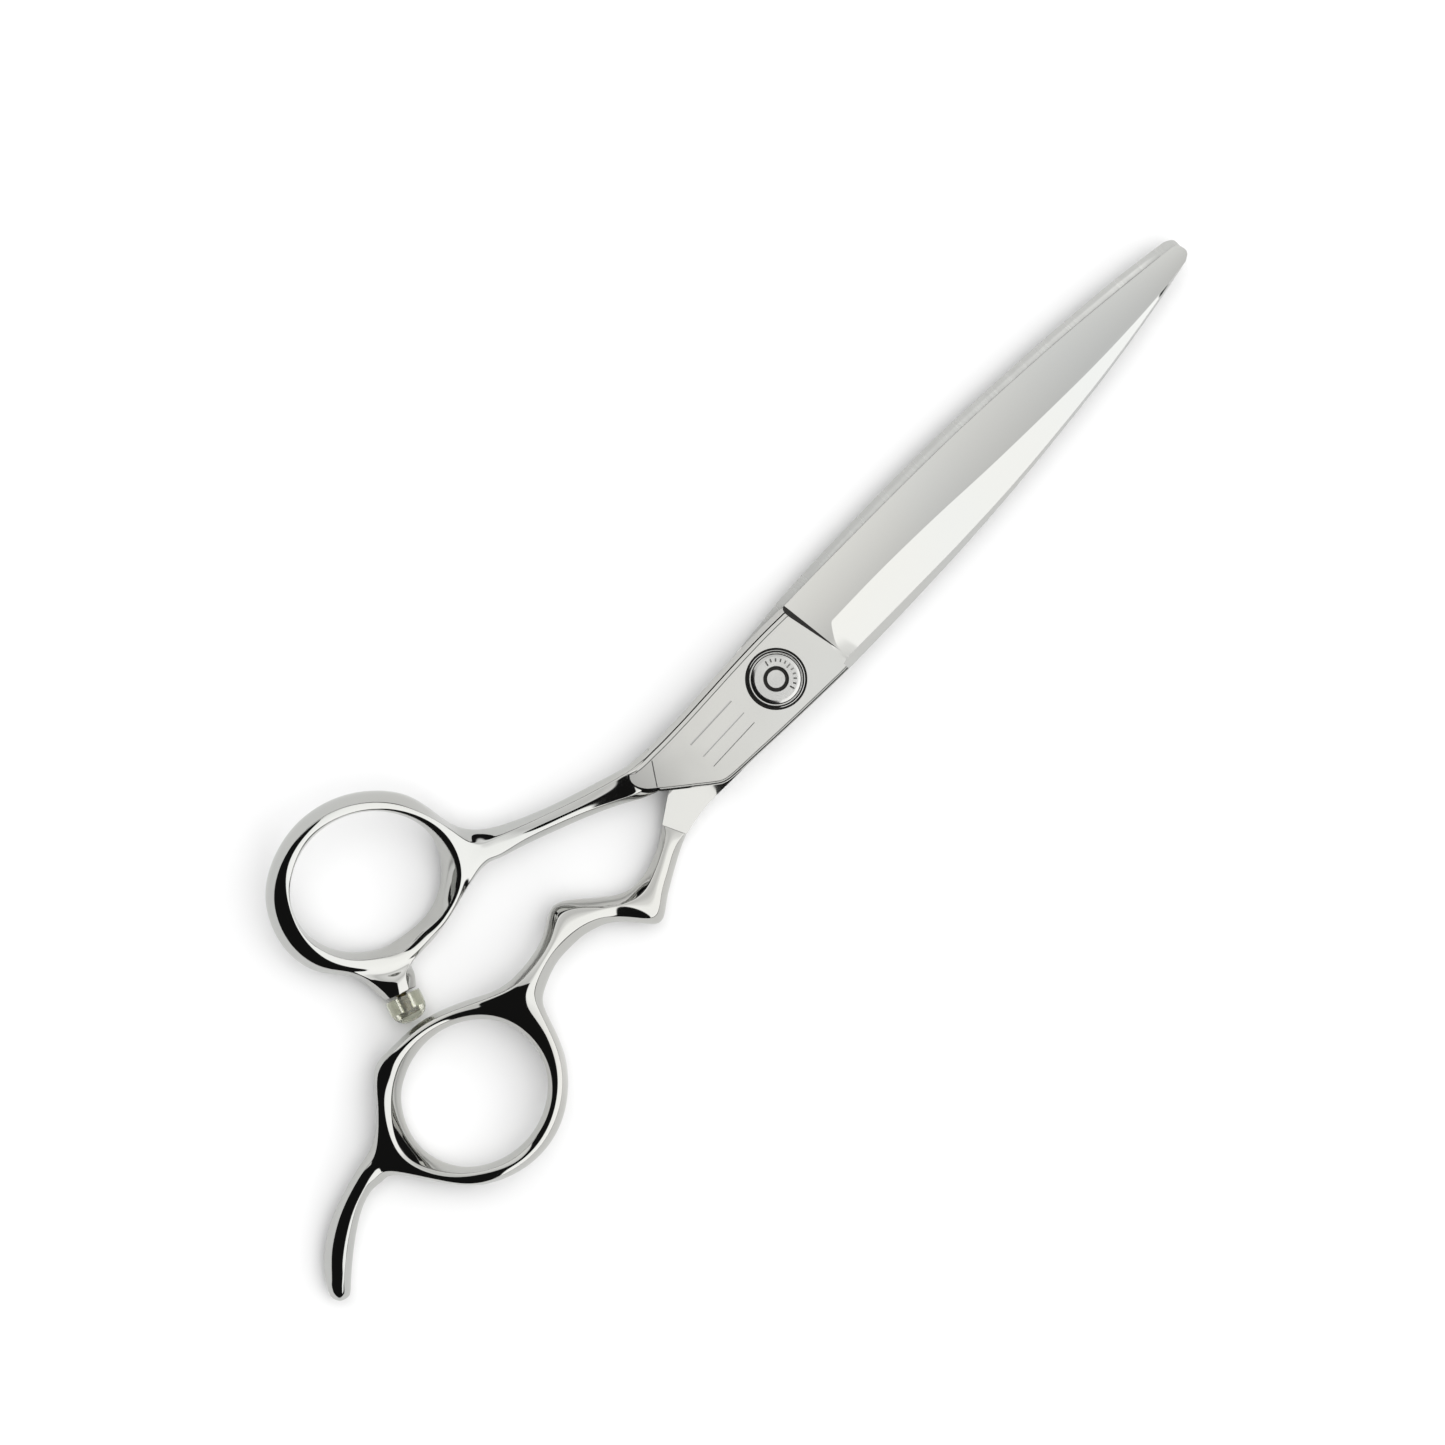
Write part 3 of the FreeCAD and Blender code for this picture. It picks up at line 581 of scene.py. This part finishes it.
# Curves of the thumb blade as seen from above: distance from the pivot, then across. The finger
# blade is its mirror image in the pair's bowed middle line.
BOW = [(4.0, 0.3), (12.0, 0.3), (26.0, 0.15), (42.0, 0.0), (60.0, -0.2), (72.0, -0.25), (79.2, -0.3)]
CUTTING_EDGE = [(7.6, 5.85), (14, 5.72), (20, 5.55), (30, 5.2), (40, 4.7), (50, 3.9), (60, 2.9),
                (70, 1.6), (78.2, 0.4)]
RIDGE = [(4.0, -0.05), (9.0, -0.15), (20, -0.35), (30, -0.9), (40, -1.7), (50, -2.3), (60, -2.75),
         (70, -2.75), (80, -2.3)]
SPINE = [(4.0, -6.0), (8.0, -6.2), (16, -6.38), (24, -6.42), (30, -6.4), (40, -6.1), (50, -5.5), (60, -4.7),
         (70, -3.5), (78.0, -2.25)]
TIP = [(79.0, -1.65), (79.19, -0.9), (78.95, -0.05)]
# Thickness over the inner face along the ridge and the spine, and at the cutting edge.
RIDGE_THICK = [(4.0, 2.45), (12, 2.4), (26, 2.2), (42, 1.9), (60, 1.5), (72, 1.2), (80, 0.95)]
SPINE_THICK = [(4.0, 1.8), (12, 1.7), (26, 1.5), (42, 1.25), (60, 1.0), (72, 0.85), (80, 0.7)]
EDGE_THICK = 0.3
# Rise of the wide face in its middle over a flat one, as a share of the ridge's thickness.
FACE_BULGE = 0.22 / 2.4

# The sides of the two plates. The cheek lies on the cutting edge's side and the belly on the spine's.
THUMB_CHEEK = [(7.1, 5.95), (3.0, 6.15), (-2.0, 6.2), (-7.0, 6.15), (-12.0, 6.1), (-16.0, 6.15),
               (-18.4, 6.26), (-20.4, 6.36), (-22.0, 6.62)]
THUMB_BELLY = [(-21.6, 1.3), (-19.6, -0.45), (-17.6, -2.15), (-15.9, -3.6), (-14.7, -4.4), (-13.0, -4.75),
               (-10.0, -5.0), (-5.0, -5.4), (0.0, -5.75), (4.0, -6.0)]
THUMB_END = [(-22.9, 6.2), (-23.5, 5.5), (-23.75, 4.6), (-23.55, 3.5), (-22.9, 2.4), (-22.2, 1.7)]
FINGER_CHEEK = [(7.1, -5.35), (3.0, -5.5), (-2.0, -5.35), (-8.0, -5.15), (-14.0, -4.85), (-19.0, -4.7),
                (-23.3, -5.3)]
FINGER_BELLY = [(-24.6, -2.1), (-21.5, -0.15), (-18.0, 2.1), (-14.5, 4.2), (-13.0, 4.9), (-11.0, 5.4),
                (-7.0, 5.8), (-2.0, 6.2), (4.0, 6.55)]


def along_curve(curve, x):
    """Height of a smooth curve through points at x."""
    xs = [point[0] for point in curve]
    index = min(max(sum(1 for value in xs if value <= x) - 1, 0), len(curve) - 2)
    (x0, y0), (x1, y1) = curve[index], curve[index + 1]
    before = curve[index - 1] if index else curve[0]
    after = curve[index + 2] if index + 2 < len(curve) else curve[-1]
    slope0 = (y1 - before[1]) / (x1 - before[0])
    slope1 = (after[1] - y0) / (after[0] - x0)
    span = x1 - x0
    t = (x - x0) / span
    if not 0 <= t <= 1:
        return y0 + (y1 - y0) * t
    return ((2 * t ** 3 - 3 * t ** 2 + 1) * y0 + (t ** 3 - 2 * t ** 2 + t) * slope0 * span
            + (3 * t ** 2 - 2 * t ** 3) * y1 + (t ** 3 - t ** 2) * slope1 * span)


def wide_face(x, y):
    """Level of the wide ground face over the inner face. It is convex and runs on past the ridge."""
    edge, ridge = along_curve(CUTTING_EDGE, x), along_curve(RIDGE, x)
    thick = along_curve(RIDGE_THICK, x)
    share = (edge - y) / (edge - ridge)
    bulge = FACE_BULGE * thick * 4 * share * (1 - share)
    return EDGE_THICK + (thick - EDGE_THICK) * share + bulge


# The cove at the start of the spine face: it climbs back from a point, first in a bend from
# COVE_FLAT onwards, then at an even slope. COVE_FAN is where its sides are as wide as its end.
COVE_END = (11.6, -2.55)
COVE_FLAT = 0.9
COVE_BEND = 0.3
COVE_SLOPE = 0.45
COVE_FAN = 3.5
COVE_TOP = 4.5
# Width of the strip that rolls down to the spine, and its slope beyond the spine face's.
SPINE_ROLL = [(4.0, 1.2), (12, 1.2), (22, 1.0), (42, 0.5), (60, 0.3), (80, 0.2)]
ROLL_STEEP = 1.3


def spine_face(x, y):
    """Level of the narrow ground face beside the spine, with its round start at the shoulder."""
    ridge, spine = along_curve(RIDGE, x), along_curve(SPINE, x)
    high, low = along_curve(RIDGE_THICK, x), along_curve(SPINE_THICK, x)
    share = (ridge - y) / max(ridge - spine, 0.3)
    level = high + (low - high) * share
    roll = spine + along_curve(SPINE_ROLL, x)
    level -= ROLL_STEEP * max(0.0, roll - y)
    back = COVE_END[0] - x
    if back > 0:
        reach = math.hypot(back, min(1.0, back / COVE_FAN) * (max(y, roll) - COVE_END[1]))
        climb = max(reach - COVE_FLAT, 0.0)
        bend = COVE_SLOPE / (2 * COVE_BEND)
        level += COVE_BEND * min(climb, bend) ** 2 + COVE_SLOPE * max(0.0, climb - bend)
    return level


def solid_to_level(name, columns, top, wall=False):
    """A closed solid from a grid of points, given as columns, to a flat level. A wall gets painted shade
    black.
    """
    points = [point for column in columns for point in column]
    count = len(columns[0])
    total = len(points)
    points += [(point[0], point[1], top) for point in points]
    faces, slots = [], []
    for i in range(len(columns) - 1):
        for j in range(count - 1):
            corners = (i * count + j, (i + 1) * count + j, (i + 1) * count + j + 1, i * count + j + 1)
            faces.append(corners)
            faces.append(tuple(corner + total for corner in reversed(corners)))
            slots += [int(wall and i == 0), 0]
    rim = (list(range(count)) + [i * count + count - 1 for i in range(1, len(columns))]
           + [(len(columns) - 1) * count + j for j in range(count - 2, -1, -1)]
           + [i * count for i in range(len(columns) - 2, 0, -1)])
    for one, other in zip(rim, rim[1:] + rim[:1]):
        faces.append((one, other, other + total, one + total))
        slots.append(0)
    return make_piece(name, points, faces, [BLADE_STEEL, SHADOW_BLACK], slots)


def steps(start, end, count):
    """Evenly spaced values from start to end."""
    return [start + (end - start) * index / (count - 1) for index in range(count)]


# Clear of the blank on every side: where cutters start, and how far a flush one sinks in.
CUTTER_TOP = 8.0
CUTTER_TIP = 82.0
FLUSH = 0.004

# Two points of the shoulder wall's top and foot: across, then distance from the pivot.
WALL_TOP = [(5.7, 7.0), (-2.7, 8.36)]
WALL_FOOT = [(5.5, 7.95), (-2.7, 8.5)]
# The cutter's wall goes on past its top line, so that it comes out of the plate.
WALL_PAST_TOP = 1.2


def wall_line(line, y):
    """Distance of one of the wall's lines from the pivot."""
    (y0, x0), (y1, x1) = line
    return x0 + (x1 - x0) * (y - y0) / (y1 - y0)


def wide_cutter():
    """Takes away what lies over the wide face, up to the shoulder's leaning wall."""
    columns = []
    for index, share in enumerate([0.0] + steps(0.0, 1.0, 70)):
        column = []
        for y in steps(-9.0, 8.0, 40):
            foot = wall_line(WALL_FOOT, y)
            x = foot + (CUTTER_TIP - foot) * share
            level = wide_face(x, y)
            if index == 0:
                level += max(PAIR_HEIGHT - THUMB_BASE - level, 0.0) * WALL_PAST_TOP + 0.05
                x = foot + (wall_line(WALL_TOP, y) - foot) * WALL_PAST_TOP
            column.append((x, y, THUMB_BASE + level))
        columns.append(column)
    # The wall's faces carry painted shade black into the blade.
    return solid_to_level("wide_cutter", columns, CUTTER_TOP, wall=True)


def spine_cutter():
    """Takes away what lies over the spine face. Its grid is finer over the cove."""
    xs = steps(7.6, 12.4, 40) + steps(12.4, CUTTER_TIP, 60)[1:]
    columns = []
    for x in xs:
        ridge = along_curve(RIDGE, x)
        spine = along_curve(SPINE, x)
        roll = spine + along_curve(SPINE_ROLL, x)
        past_ridge = max(ridge + 1.2, roll + 0.5)
        ys = steps(-8.0, spine, 4) + steps(spine, roll, 6)[1:] + steps(roll, past_ridge, 32)[1:]
        columns.append([(x, y, THUMB_BASE + min(spine_face(x, y), COVE_TOP)) for y in ys])
    return solid_to_level("spine_cutter", columns, CUTTER_TOP)


HOLLOW_START, HOLLOW_END = 12.0, 76.5
HOLLOW_DEPTH = 0.14
# Widths of the honed borders along the cutting edge and the spine.
EDGE_BORDER, SPINE_BORDER = 0.55, 0.6


def hollow_cutter():
    """The inner face's shallow hollow, inside its flat honed borders. It runs out at both ends."""
    columns = []
    for x in steps(HOLLOW_START, HOLLOW_END, 50):
        edge, spine = along_curve(CUTTING_EDGE, x) - EDGE_BORDER, along_curve(SPINE, x) + SPINE_BORDER
        end = min(1.0, (x - HOLLOW_START) / 6.0, (HOLLOW_END - x) / 3.0)
        column = []
        for share in steps(-0.05, 1.05, 16):
            depth = HOLLOW_DEPTH * end * 4 * share * (1 - share) - FLUSH
            column.append((x, edge + (spine - edge) * share, THUMB_BASE + depth))
        columns.append(column)
    return solid_to_level("hollow_cutter", columns, THUMB_BASE - 1.0)


# Where the neck's tipped face starts along the plate and across it, and its slope.
NECK_START, NECK_SIDE = -12.0, 0.5
NECK_SLOPE = 0.06


def neck_cutter():
    """Tips the finger plate's face a little towards its lower side where it runs into the shank."""
    columns = []
    for x in steps(-26.0, NECK_START, 15):
        slope = NECK_SLOPE * min(1.0, (NECK_START - x) / 5.0)
        ys = steps(NECK_SIDE, 7.5, 8)
        columns.append([(x, y, THUMB_BASE - FLUSH + slope * (y - NECK_SIDE)) for y in ys])
    return solid_to_level("neck_cutter", columns, THUMB_BASE - 1.0)


def disc_cutter(name, radius, low, high, sides=96):
    """A plain cylinder about the pivot, for a bore or a seat."""
    turns = [2 * math.pi * index / sides for index in range(sides)]
    ring = [(radius * math.cos(turn), radius * math.sin(turn)) for turn in turns]
    points = [(x, y, low) for x, y in ring] + [(x, y, high) for x, y in ring]
    faces = [tuple(range(sides)), tuple(range(sides, 2 * sides))]
    faces += [(i, (i + 1) % sides, (i + 1) % sides + sides, i + sides) for i in range(sides)]
    return make_piece(name, points, faces, [BLADE_STEEL])


# Edge profile of a plate: level over the inner face, then how far the side has moved in on the
# rounded cheek, on the plainly bevelled belly, and at the end that runs out over the shank.
SIDE_LEVELS = [
    (0.0, 0.0, 0.0, 0.0), (1.1, 0.0, 0.0, 0.0), (2.0, 0.28, 0.0, 0.0), (2.5, 0.55, 0.0, 0.0),
    (2.72, 0.70, 0.12, 0.0), (2.87, 0.87, 0.29, 0.2), (3.02, 1.33, 0.42, 0.45), (3.1, 1.42, 0.51, 0.6),
]
CHEEK, BELLY, END = 1, 2, 3


def blade_blank(name, cheek, belly, end):
    """The forged blank: its outline stacked with the plate's edge profile, before grinding."""
    path = [(point, BELLY) for point in spline_through(belly + SPINE[1:], 6)]
    path += [(point, BELLY) for point in spline_through([SPINE[-1], *TIP, CUTTING_EDGE[-1]], 5)[1:-1]]
    path += [(Vector((x, along_curve(CUTTING_EDGE, x))), CHEEK) for x in steps(78.2, 7.7, 60)]
    path += [(point, CHEEK) for point in spline_through(cheek, 6)]
    if end:
        path += [(point, END) for point in spline_through(end, 6)]
    count, points = len(path), []
    for row in SIDE_LEVELS:
        for index, (place, kind) in enumerate(path):
            run = (path[(index + 1) % count][0] - path[index - 1][0]).normalized()
            if not end and index in (0, count - 1):
                run = Vector((0, 0))
            moved = place + Vector((-run.y, run.x)) * row[kind]
            points.append((moved.x, moved.y, THUMB_BASE + row[0]))
    top = (len(SIDE_LEVELS) - 1) * count
    faces = [tuple(range(count)), tuple(range(top, top + count))]
    for low in range(0, top, count):
        for index in range(count):
            following = (index + 1) % count
            faces.append((low + index, low + following, low + count + following, low + count + index))
    return make_piece(name, points, faces, [BLADE_STEEL, SHADOW_BLACK, INNER_STEEL])


def groove_cutter(name, start, end, width, depth, level=PAIR_HEIGHT, material=ETCHED_STEEL):
    """A V-shaped bar along a line, for an engraved mark as wide and deep as it says at that level."""
    start, end = Vector(start), Vector(end)
    run = (end - start).normalized()
    aside = Vector((-run.y, run.x)) * width / 2
    points = []
    for place in (start, end):
        above = level + depth
        points += [(*(place + aside * 2), above), (*(place - aside * 2), above), (*place, level - depth)]
    faces = [(0, 1, 2), (5, 4, 3), (0, 3, 4, 1), (1, 4, 5, 2), (2, 5, 3, 0)]
    return make_piece(name, points, faces, [material])


def cut_away(piece, cutters):
    """Takes the cutters away from a piece. Each cut face has its cutter's material, painted shade black on
    the shoulder wall included.
    """
    for cutter in cutters:
        cut = piece.modifiers.new(cutter.name, "BOOLEAN")
        cut.operation = "DIFFERENCE"
        cut.solver = "EXACT"
        cut.object = cutter
        cut.material_mode = "TRANSFER"
    bake_modifiers(piece)
    for cutter in cutters:
        bpy.data.objects.remove(cutter)
    return piece


# Where the satin part of the inner face begins, and how far above that face its hollow can lie.
SATIN_START = 6.0
SATIN_REACH = 0.3


def finish_blade(piece):
    """Satin on the working part of the inner face, sharp lines where the grinds meet."""
    smooth_shade(piece, 12)
    for face in piece.data.polygons:
        place = face.center / MM
        if face.normal.z < -0.9 and place.z < THUMB_BASE + SATIN_REACH and place.x > SATIN_START:
            face.material_index = 2
        if abs(face.normal.z) > 0.99999:
            face.use_smooth = False
    return piece


# Three plain engraved rules where the real plate carries lettering: their places across and widths.
RULES = [(2.4, 0.24), (0.1, 0.18), (-1.8, 0.14)]
RULE_START, RULE_END = -14.2, -6.2
RULE_DEPTH = 0.05
WELD_LINE = [(-19.2, 4.75), (-21.3, 1.85)]

# Holes about the pivot, each a little wider than what sits in it, and the levels of their floors.
BUSH_BORE = 2.72
NUT_RECESS, NUT_FLOOR = 4.15, 4.5
SCREW_BORE = 2.02
WASHER_SEAT, WASHER_FLOOR = 5.02, PAIR_HEIGHT - 2.78
HEAD_SEAT, HEAD_FLOOR = 4.02, PAIR_HEIGHT - 1.2
BELOW_BORES = 2.0


def thumb_blade():
    """Upper blade, with its bore for the bush and its recess for the nut's ring."""
    piece = blade_blank("thumb_blade_ground", THUMB_CHEEK, THUMB_BELLY, THUMB_END)
    cutters = [wide_cutter(), spine_cutter(), hollow_cutter()]
    cutters.append(groove_cutter("weld", *WELD_LINE, width=0.14, depth=0.09))
    for y, width in RULES:
        cutters.append(groove_cutter(f"rule_{y}", (RULE_START, y), (RULE_END, y), width, RULE_DEPTH))
    cutters.append(disc_cutter("bore", BUSH_BORE, BELOW_BORES, NUT_FLOOR + 0.5))
    cutters.append(disc_cutter("recess", NUT_RECESS, NUT_FLOOR, CUTTER_TOP))
    return finish_blade(cut_away(piece, cutters))


def mirror_to_finger(piece):
    """Turns a thumb-side blade into a finger-side one: mirrored in the bowed middle and in height."""
    bow_start, bow_end = BOW[0][0], BOW[-1][0]
    for vertex in piece.data.vertices:
        x, y, z = vertex.co / MM
        bow = along_curve(BOW, min(max(x, bow_start), bow_end))
        vertex.co = Vector((x, 2 * bow - y, PAIR_HEIGHT - z)) * MM


def mirrored(points):
    """A finger plate's outline as the thumb-side blank that mirror_to_finger turns back."""
    return [(x, 2 * BOW[0][1] - y) for x, y in points]


def finger_blade():
    """Lower blade. Its seats lie upside down here, as in the thumb-side blank that it is cut from."""
    piece = blade_blank("finger_blade_ground", mirrored(FINGER_CHEEK), mirrored(FINGER_BELLY), None)
    cutters = [wide_cutter(), spine_cutter(), hollow_cutter(), neck_cutter(),
               disc_cutter("bore", SCREW_BORE, BELOW_BORES, CUTTER_TOP),
               disc_cutter("seat", WASHER_SEAT, BELOW_BORES, WASHER_FLOOR),
               disc_cutter("head", HEAD_SEAT, HEAD_FLOOR, CUTTER_TOP)]
    finish_blade(cut_away(piece, cutters))
    mirror_to_finger(piece)
    return piece


# ------------------------------------------------------------------ pivot and bumper

def turned(name, profile, materials, slots=None, sides=96, to_place=None):
    """A turned part: its closed profile of radius and level goes round Z, then to_place moves it."""
    points, rows = [], []
    for radius, level in profile:
        rows.append(len(points))
        turns = [2 * math.pi * index / sides for index in range(sides)] if radius else [0.0]
        points += [(radius * math.cos(turn), radius * math.sin(turn), level) for turn in turns]
    faces, face_slots = [], []
    for index, (radius, _) in enumerate(profile):
        following = (index + 1) % len(profile)
        if not radius and not profile[following][0]:
            continue
        for step in range(sides):
            corners = []
            for row, beside in ((index, step), (index, step + 1), (following, step + 1), (following, step)):
                corner = rows[row] + (beside % sides if profile[row][0] else 0)
                if corner not in corners:
                    corners.append(corner)
            faces.append(tuple(corners))
            face_slots.append(slots[index] if slots else 0)
    if to_place:
        points = [to_place @ Vector(point) for point in points]
    return make_piece(name, points, faces, materials, face_slots)


def nut_ring():
    """Ring pressed into the plate, with two turned grooves round its rim, painted shade black along with
    its hidden faces.
    """
    profile = [(3.5, 4.5), (4.13, 4.5), (4.13, 5.9), (3.84, 6.22), (3.77, 6.25), (3.70, 6.05),
               (3.58, 6.1), (3.55, 6.24), (3.5, 6.24)]
    # Slot 1 is painted shade: black on the hidden faces, the chamfer at the gap to the plate and the inner
    # groove.
    slots = [1, 1, 1, 0, 1, 1, 1, 0, 1]
    piece = turned("nut_ring_turned", profile, [NUT_STEEL, SHADOW_BLACK], slots)
    smooth_shade(piece, 20)
    return piece


NUT_FACE = 6.2
# The nut's scale: 11 marks from inner to outer radius, with longer ones at both ends and the middle.
MARK_START, MARK_TURN = -75, 15
LONG_MARK, SHORT_MARK, MARK_OUTER = 2.05, 2.3, 2.75


def tension_nut():
    """The tension dial: a nut with rounded rim, a groove round the screw, and a scale of plain marks."""
    profile = [(1.2, 5.15), (3.38, 5.15), (3.39, 5.95), (3.36, 6.06), (3.26, 6.13), (3.08, 6.18),
               (2.9, NUT_FACE), (2.84, NUT_FACE), (1.72, NUT_FACE), (1.64, 5.86), (1.2, 5.86)]
    # Slot 1 is painted shade: black on the side seen in the gap to the ring and in the groove round the
    # screw.
    slots = [0, 1, 0, 0, 0, 0, 0, 0, 1, 1, 1]
    piece = turned("tension_nut_turned", profile, [NUT_STEEL, SHADOW_BLACK], slots)
    marks = []
    for index in range(11):
        turn = math.radians(MARK_START + MARK_TURN * index)
        outward = Vector((math.cos(turn), math.sin(turn)))
        inner = SHORT_MARK if index % 5 else LONG_MARK
        marks.append(groove_cutter(f"mark_{index}", outward * inner, outward * MARK_OUTER,
                                   width=0.22, depth=0.08, level=NUT_FACE))
    cut_away(piece, marks)
    smooth_shade(piece, 14)
    return piece


BUMPER_BASE = Vector((-65.0, 7.9, 2.7))
BUMPER_HEADING = math.radians(248.5)


def along_bumper():
    """Carries a turned part's Z onto the bumper's axis."""
    forward = Vector((math.cos(BUMPER_HEADING), math.sin(BUMPER_HEADING), 0))
    aside = UP.cross(forward)
    turn = Matrix((UP, aside, forward)).transposed().to_4x4()
    return Matrix.Translation(BUMPER_BASE) @ turn


def bumper():
    """Domed bumper, hollow where the stud's shank and head sit."""
    profile = [(0.82, 0.02), (2.36, 0.02), (2.45, 0.12), (2.49, 0.7), (2.5, 1.4), (2.46, 1.95), (2.3, 2.5),
               (2.0, 2.98), (1.55, 3.36), (1.0, 3.58), (0.5, 3.67), (0, 3.69), (0, 2.64), (1.5, 2.64),
               (1.53, 2.6), (1.53, 1.98), (0.82, 1.96)]
    piece = turned("bumper_moulded", profile, [BUMPER_PLASTIC], to_place=along_bumper(), sides=64)
    smooth_shade(piece, 30)
    return piece


def bumper_stud():
    """Stud with a threaded shank and a notched head, its gold painted dark as shade under the plastic."""
    crest, root, pitch = 0.79, 0.66, 0.5
    profile = [(0, -2.45), (0.7, -2.45)]
    for index in range(8):
        profile += [(crest, -2.3 + pitch * index), (root, -2.05 + pitch * index)]
    profile += [(root, 1.75), (0.72, 2.0), (1.42, 2.02), (1.49, 2.12), (1.3, 2.25), (1.49, 2.38),
                (1.38, 2.58), (0.0, 2.6)]
    piece = turned("bumper_stud_turned", profile, [STUD_GILT], to_place=along_bumper(), sides=48)
    smooth_shade(piece, 30)
    return piece


# ------------------------------------------------------------------ stage

CAMERA_AIM = Vector((-9.1, 1.3, 4.0)) * MM
CAMERA_DISTANCE = 0.723
# Directions of the picture's right and top in the frame.
IMAGE_RIGHT = Vector((0.6794, -0.7337, 0))
IMAGE_UP = Vector((0.7337, 0.6794, 0))


def add_camera():
    """Straight above the shears, which lie aslant in the picture."""
    data = bpy.data.cameras.new("camera")
    data.lens = 135
    data.sensor_width = 36
    data.clip_start, data.clip_end = 0.01, 20
    camera = add_object("camera", data)
    turn = Matrix((IMAGE_RIGHT, IMAGE_UP, IMAGE_RIGHT.cross(IMAGE_UP))).transposed().to_4x4()
    camera.matrix_world = Matrix.Translation(CAMERA_AIM + UP * CAMERA_DISTANCE) @ turn
    bpy.context.scene.camera = camera


FLOOR_HALF = 3.0


def add_floor():
    """Matt white paper, far wider than the picture."""
    half = FLOOR_HALF
    mesh = bpy.data.meshes.new("floor")
    corners = [(-half, -half, 0), (half, -half, 0), (half, half, 0), (-half, half, 0)]
    mesh.from_pydata(corners, [], [(0, 1, 2, 3)])
    recipe = Recipe("floor_white", Roughness=0.9, Specular_IOR_Level=0.1, Base_Color=(0.93, 0.93, 0.93, 1))
    mesh.materials.append(recipe.material)
    floor = add_object("floor", mesh)


# The studio's brightness across the sky, from the -Y horizon over the zenith to the +Y horizon.
SKY_RAMP = [(-1.0, 1.9), (-0.6, 1.8), (-0.2, 1.75), (-0.05, 1.38), (0.05, 1.32), (0.25, 1.0),
            (0.45, 1.12), (0.8, 1.35), (1.0, 1.9)]
# The ramp's colours are shares of SKY_FULL, and SKY_DARK is what the opening and the gap give.
SKY_FULL = 2.0
SKY_DARK = 0.012
# How far the opening's two sides lean over, and where its edge and the gap's top fade.
OPEN_TO_THUMB = 0.3
OPEN_TO_FINGER = 0.7
OPENING_EDGE = (0.008, 0.03)
GAP_TOP = (0.26, 0.36)


def add_studio():
    """A white tent round the shears, open on the -X side, with a dark gap along its foot."""
    world = bpy.data.worlds.new("studio")
    world.use_nodes = True
    bpy.context.scene.world = world
    tree = world.node_tree

    def calculate(operation, first, second):
        return add_node(tree, "ShaderNodeMath", {0: first, 1: second}, operation=operation).outputs[0]

    def fade(value, span, low, high):
        inputs = {"Value": value, "From Min": span[0], "From Max": span[1], "To Min": low, "To Max": high}
        return add_node(tree, "ShaderNodeMapRange", inputs, interpolation_type="SMOOTHSTEP").outputs[0]

    direction = add_node(tree, "ShaderNodeTexCoord").outputs["Generated"]
    x, y, z = add_node(tree, "ShaderNodeSeparateXYZ", {0: direction}).outputs
    span = {"Value": y, "From Min": -1.0, "From Max": 1.0}
    across = add_node(tree, "ShaderNodeMapRange", span).outputs[0]
    ramp = add_node(tree, "ShaderNodeValToRGB", {"Fac": across})
    while len(ramp.color_ramp.elements) < len(SKY_RAMP):
        ramp.color_ramp.elements.new(0.5)
    for element, (place, level) in zip(ramp.color_ramp.elements, SKY_RAMP):
        grey = level / SKY_FULL
        element.position = (place + 1) / 2
        element.color = (grey, grey, grey, 1)
    # The opening: directions that lean towards -X more than a little, and more than towards Y.
    to_thumb = calculate("MULTIPLY", y, OPEN_TO_THUMB)
    to_finger = calculate("MULTIPLY", y, -OPEN_TO_FINGER)
    lean = calculate("SUBTRACT", calculate("MULTIPLY", x, -1.0), calculate("MAXIMUM", to_thumb, to_finger))
    closed = fade(lean, OPENING_EDGE, 1.0, 0.0)
    raised = fade(z, GAP_TOP, 0.0, 1.0)
    level = calculate("MULTIPLY", calculate("MULTIPLY", closed, raised), ramp.outputs["Color"])
    level = calculate("ADD", calculate("MULTIPLY", level, SKY_FULL), SKY_DARK)
    tree.links.new(level, tree.nodes["Background"].inputs["Color"])


def add_softbox(name, place, size, power):
    """A soft light that lights matt things and leaves no image of itself in the steel."""
    data = bpy.data.lights.new(name, "AREA")
    data.shape = "DISK"
    data.size = size
    data.energy = power
    lamp = add_object(name, data)
    lamp.location = place
    lamp.rotation_mode = "QUATERNION"
    lamp.rotation_quaternion = (-Vector(place)).to_track_quat("-Z", "Y")
    lamp.visible_glossy = False


# ------------------------------------------------------------------ build

finish_piece(thumb_handle(), "thumb_half", "handle_steel", "thumb_handle")
finish_piece(finger_handle(), "finger_half", "handle_steel", "finger_handle")
finish_piece(thumb_blade(), "thumb_half", "blade_steel", "thumb_blade")
finish_piece(finger_blade(), "finger_half", "blade_steel", "finger_blade")
finish_piece(nut_ring(), "thumb_half", "screw_steel", "nut_ring")
finish_piece(tension_nut(), "tension_dial", "screw_steel", "tension_nut")
finish_piece(bumper_stud(), "thumb_half", "screw_steel", "bumper_stud")
finish_piece(bumper(), "thumb_half", "bumper_clear", "bumper")

# CAD nodes that are seen as they are.
NODE_LOOKS = {
    "pivot_screw": NUT_STEEL,
    "blade_washer": BEARING_PLASTIC,
    "pivot_bush": BEARING_PLASTIC,
    "thrust_washer": BEARING_PLASTIC,
    "click_spring": SPRING_STEEL,
}
for node, material in NODE_LOOKS.items():
    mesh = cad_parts[node].data
    mesh.materials.clear()
    mesh.materials.append(material)

add_floor()
add_studio()
add_softbox("overhead", place=(0.0, 0.0, 1.2), size=1.6, power=6.0)
add_camera()
bpy.context.scene.view_settings.view_transform = "Standard"
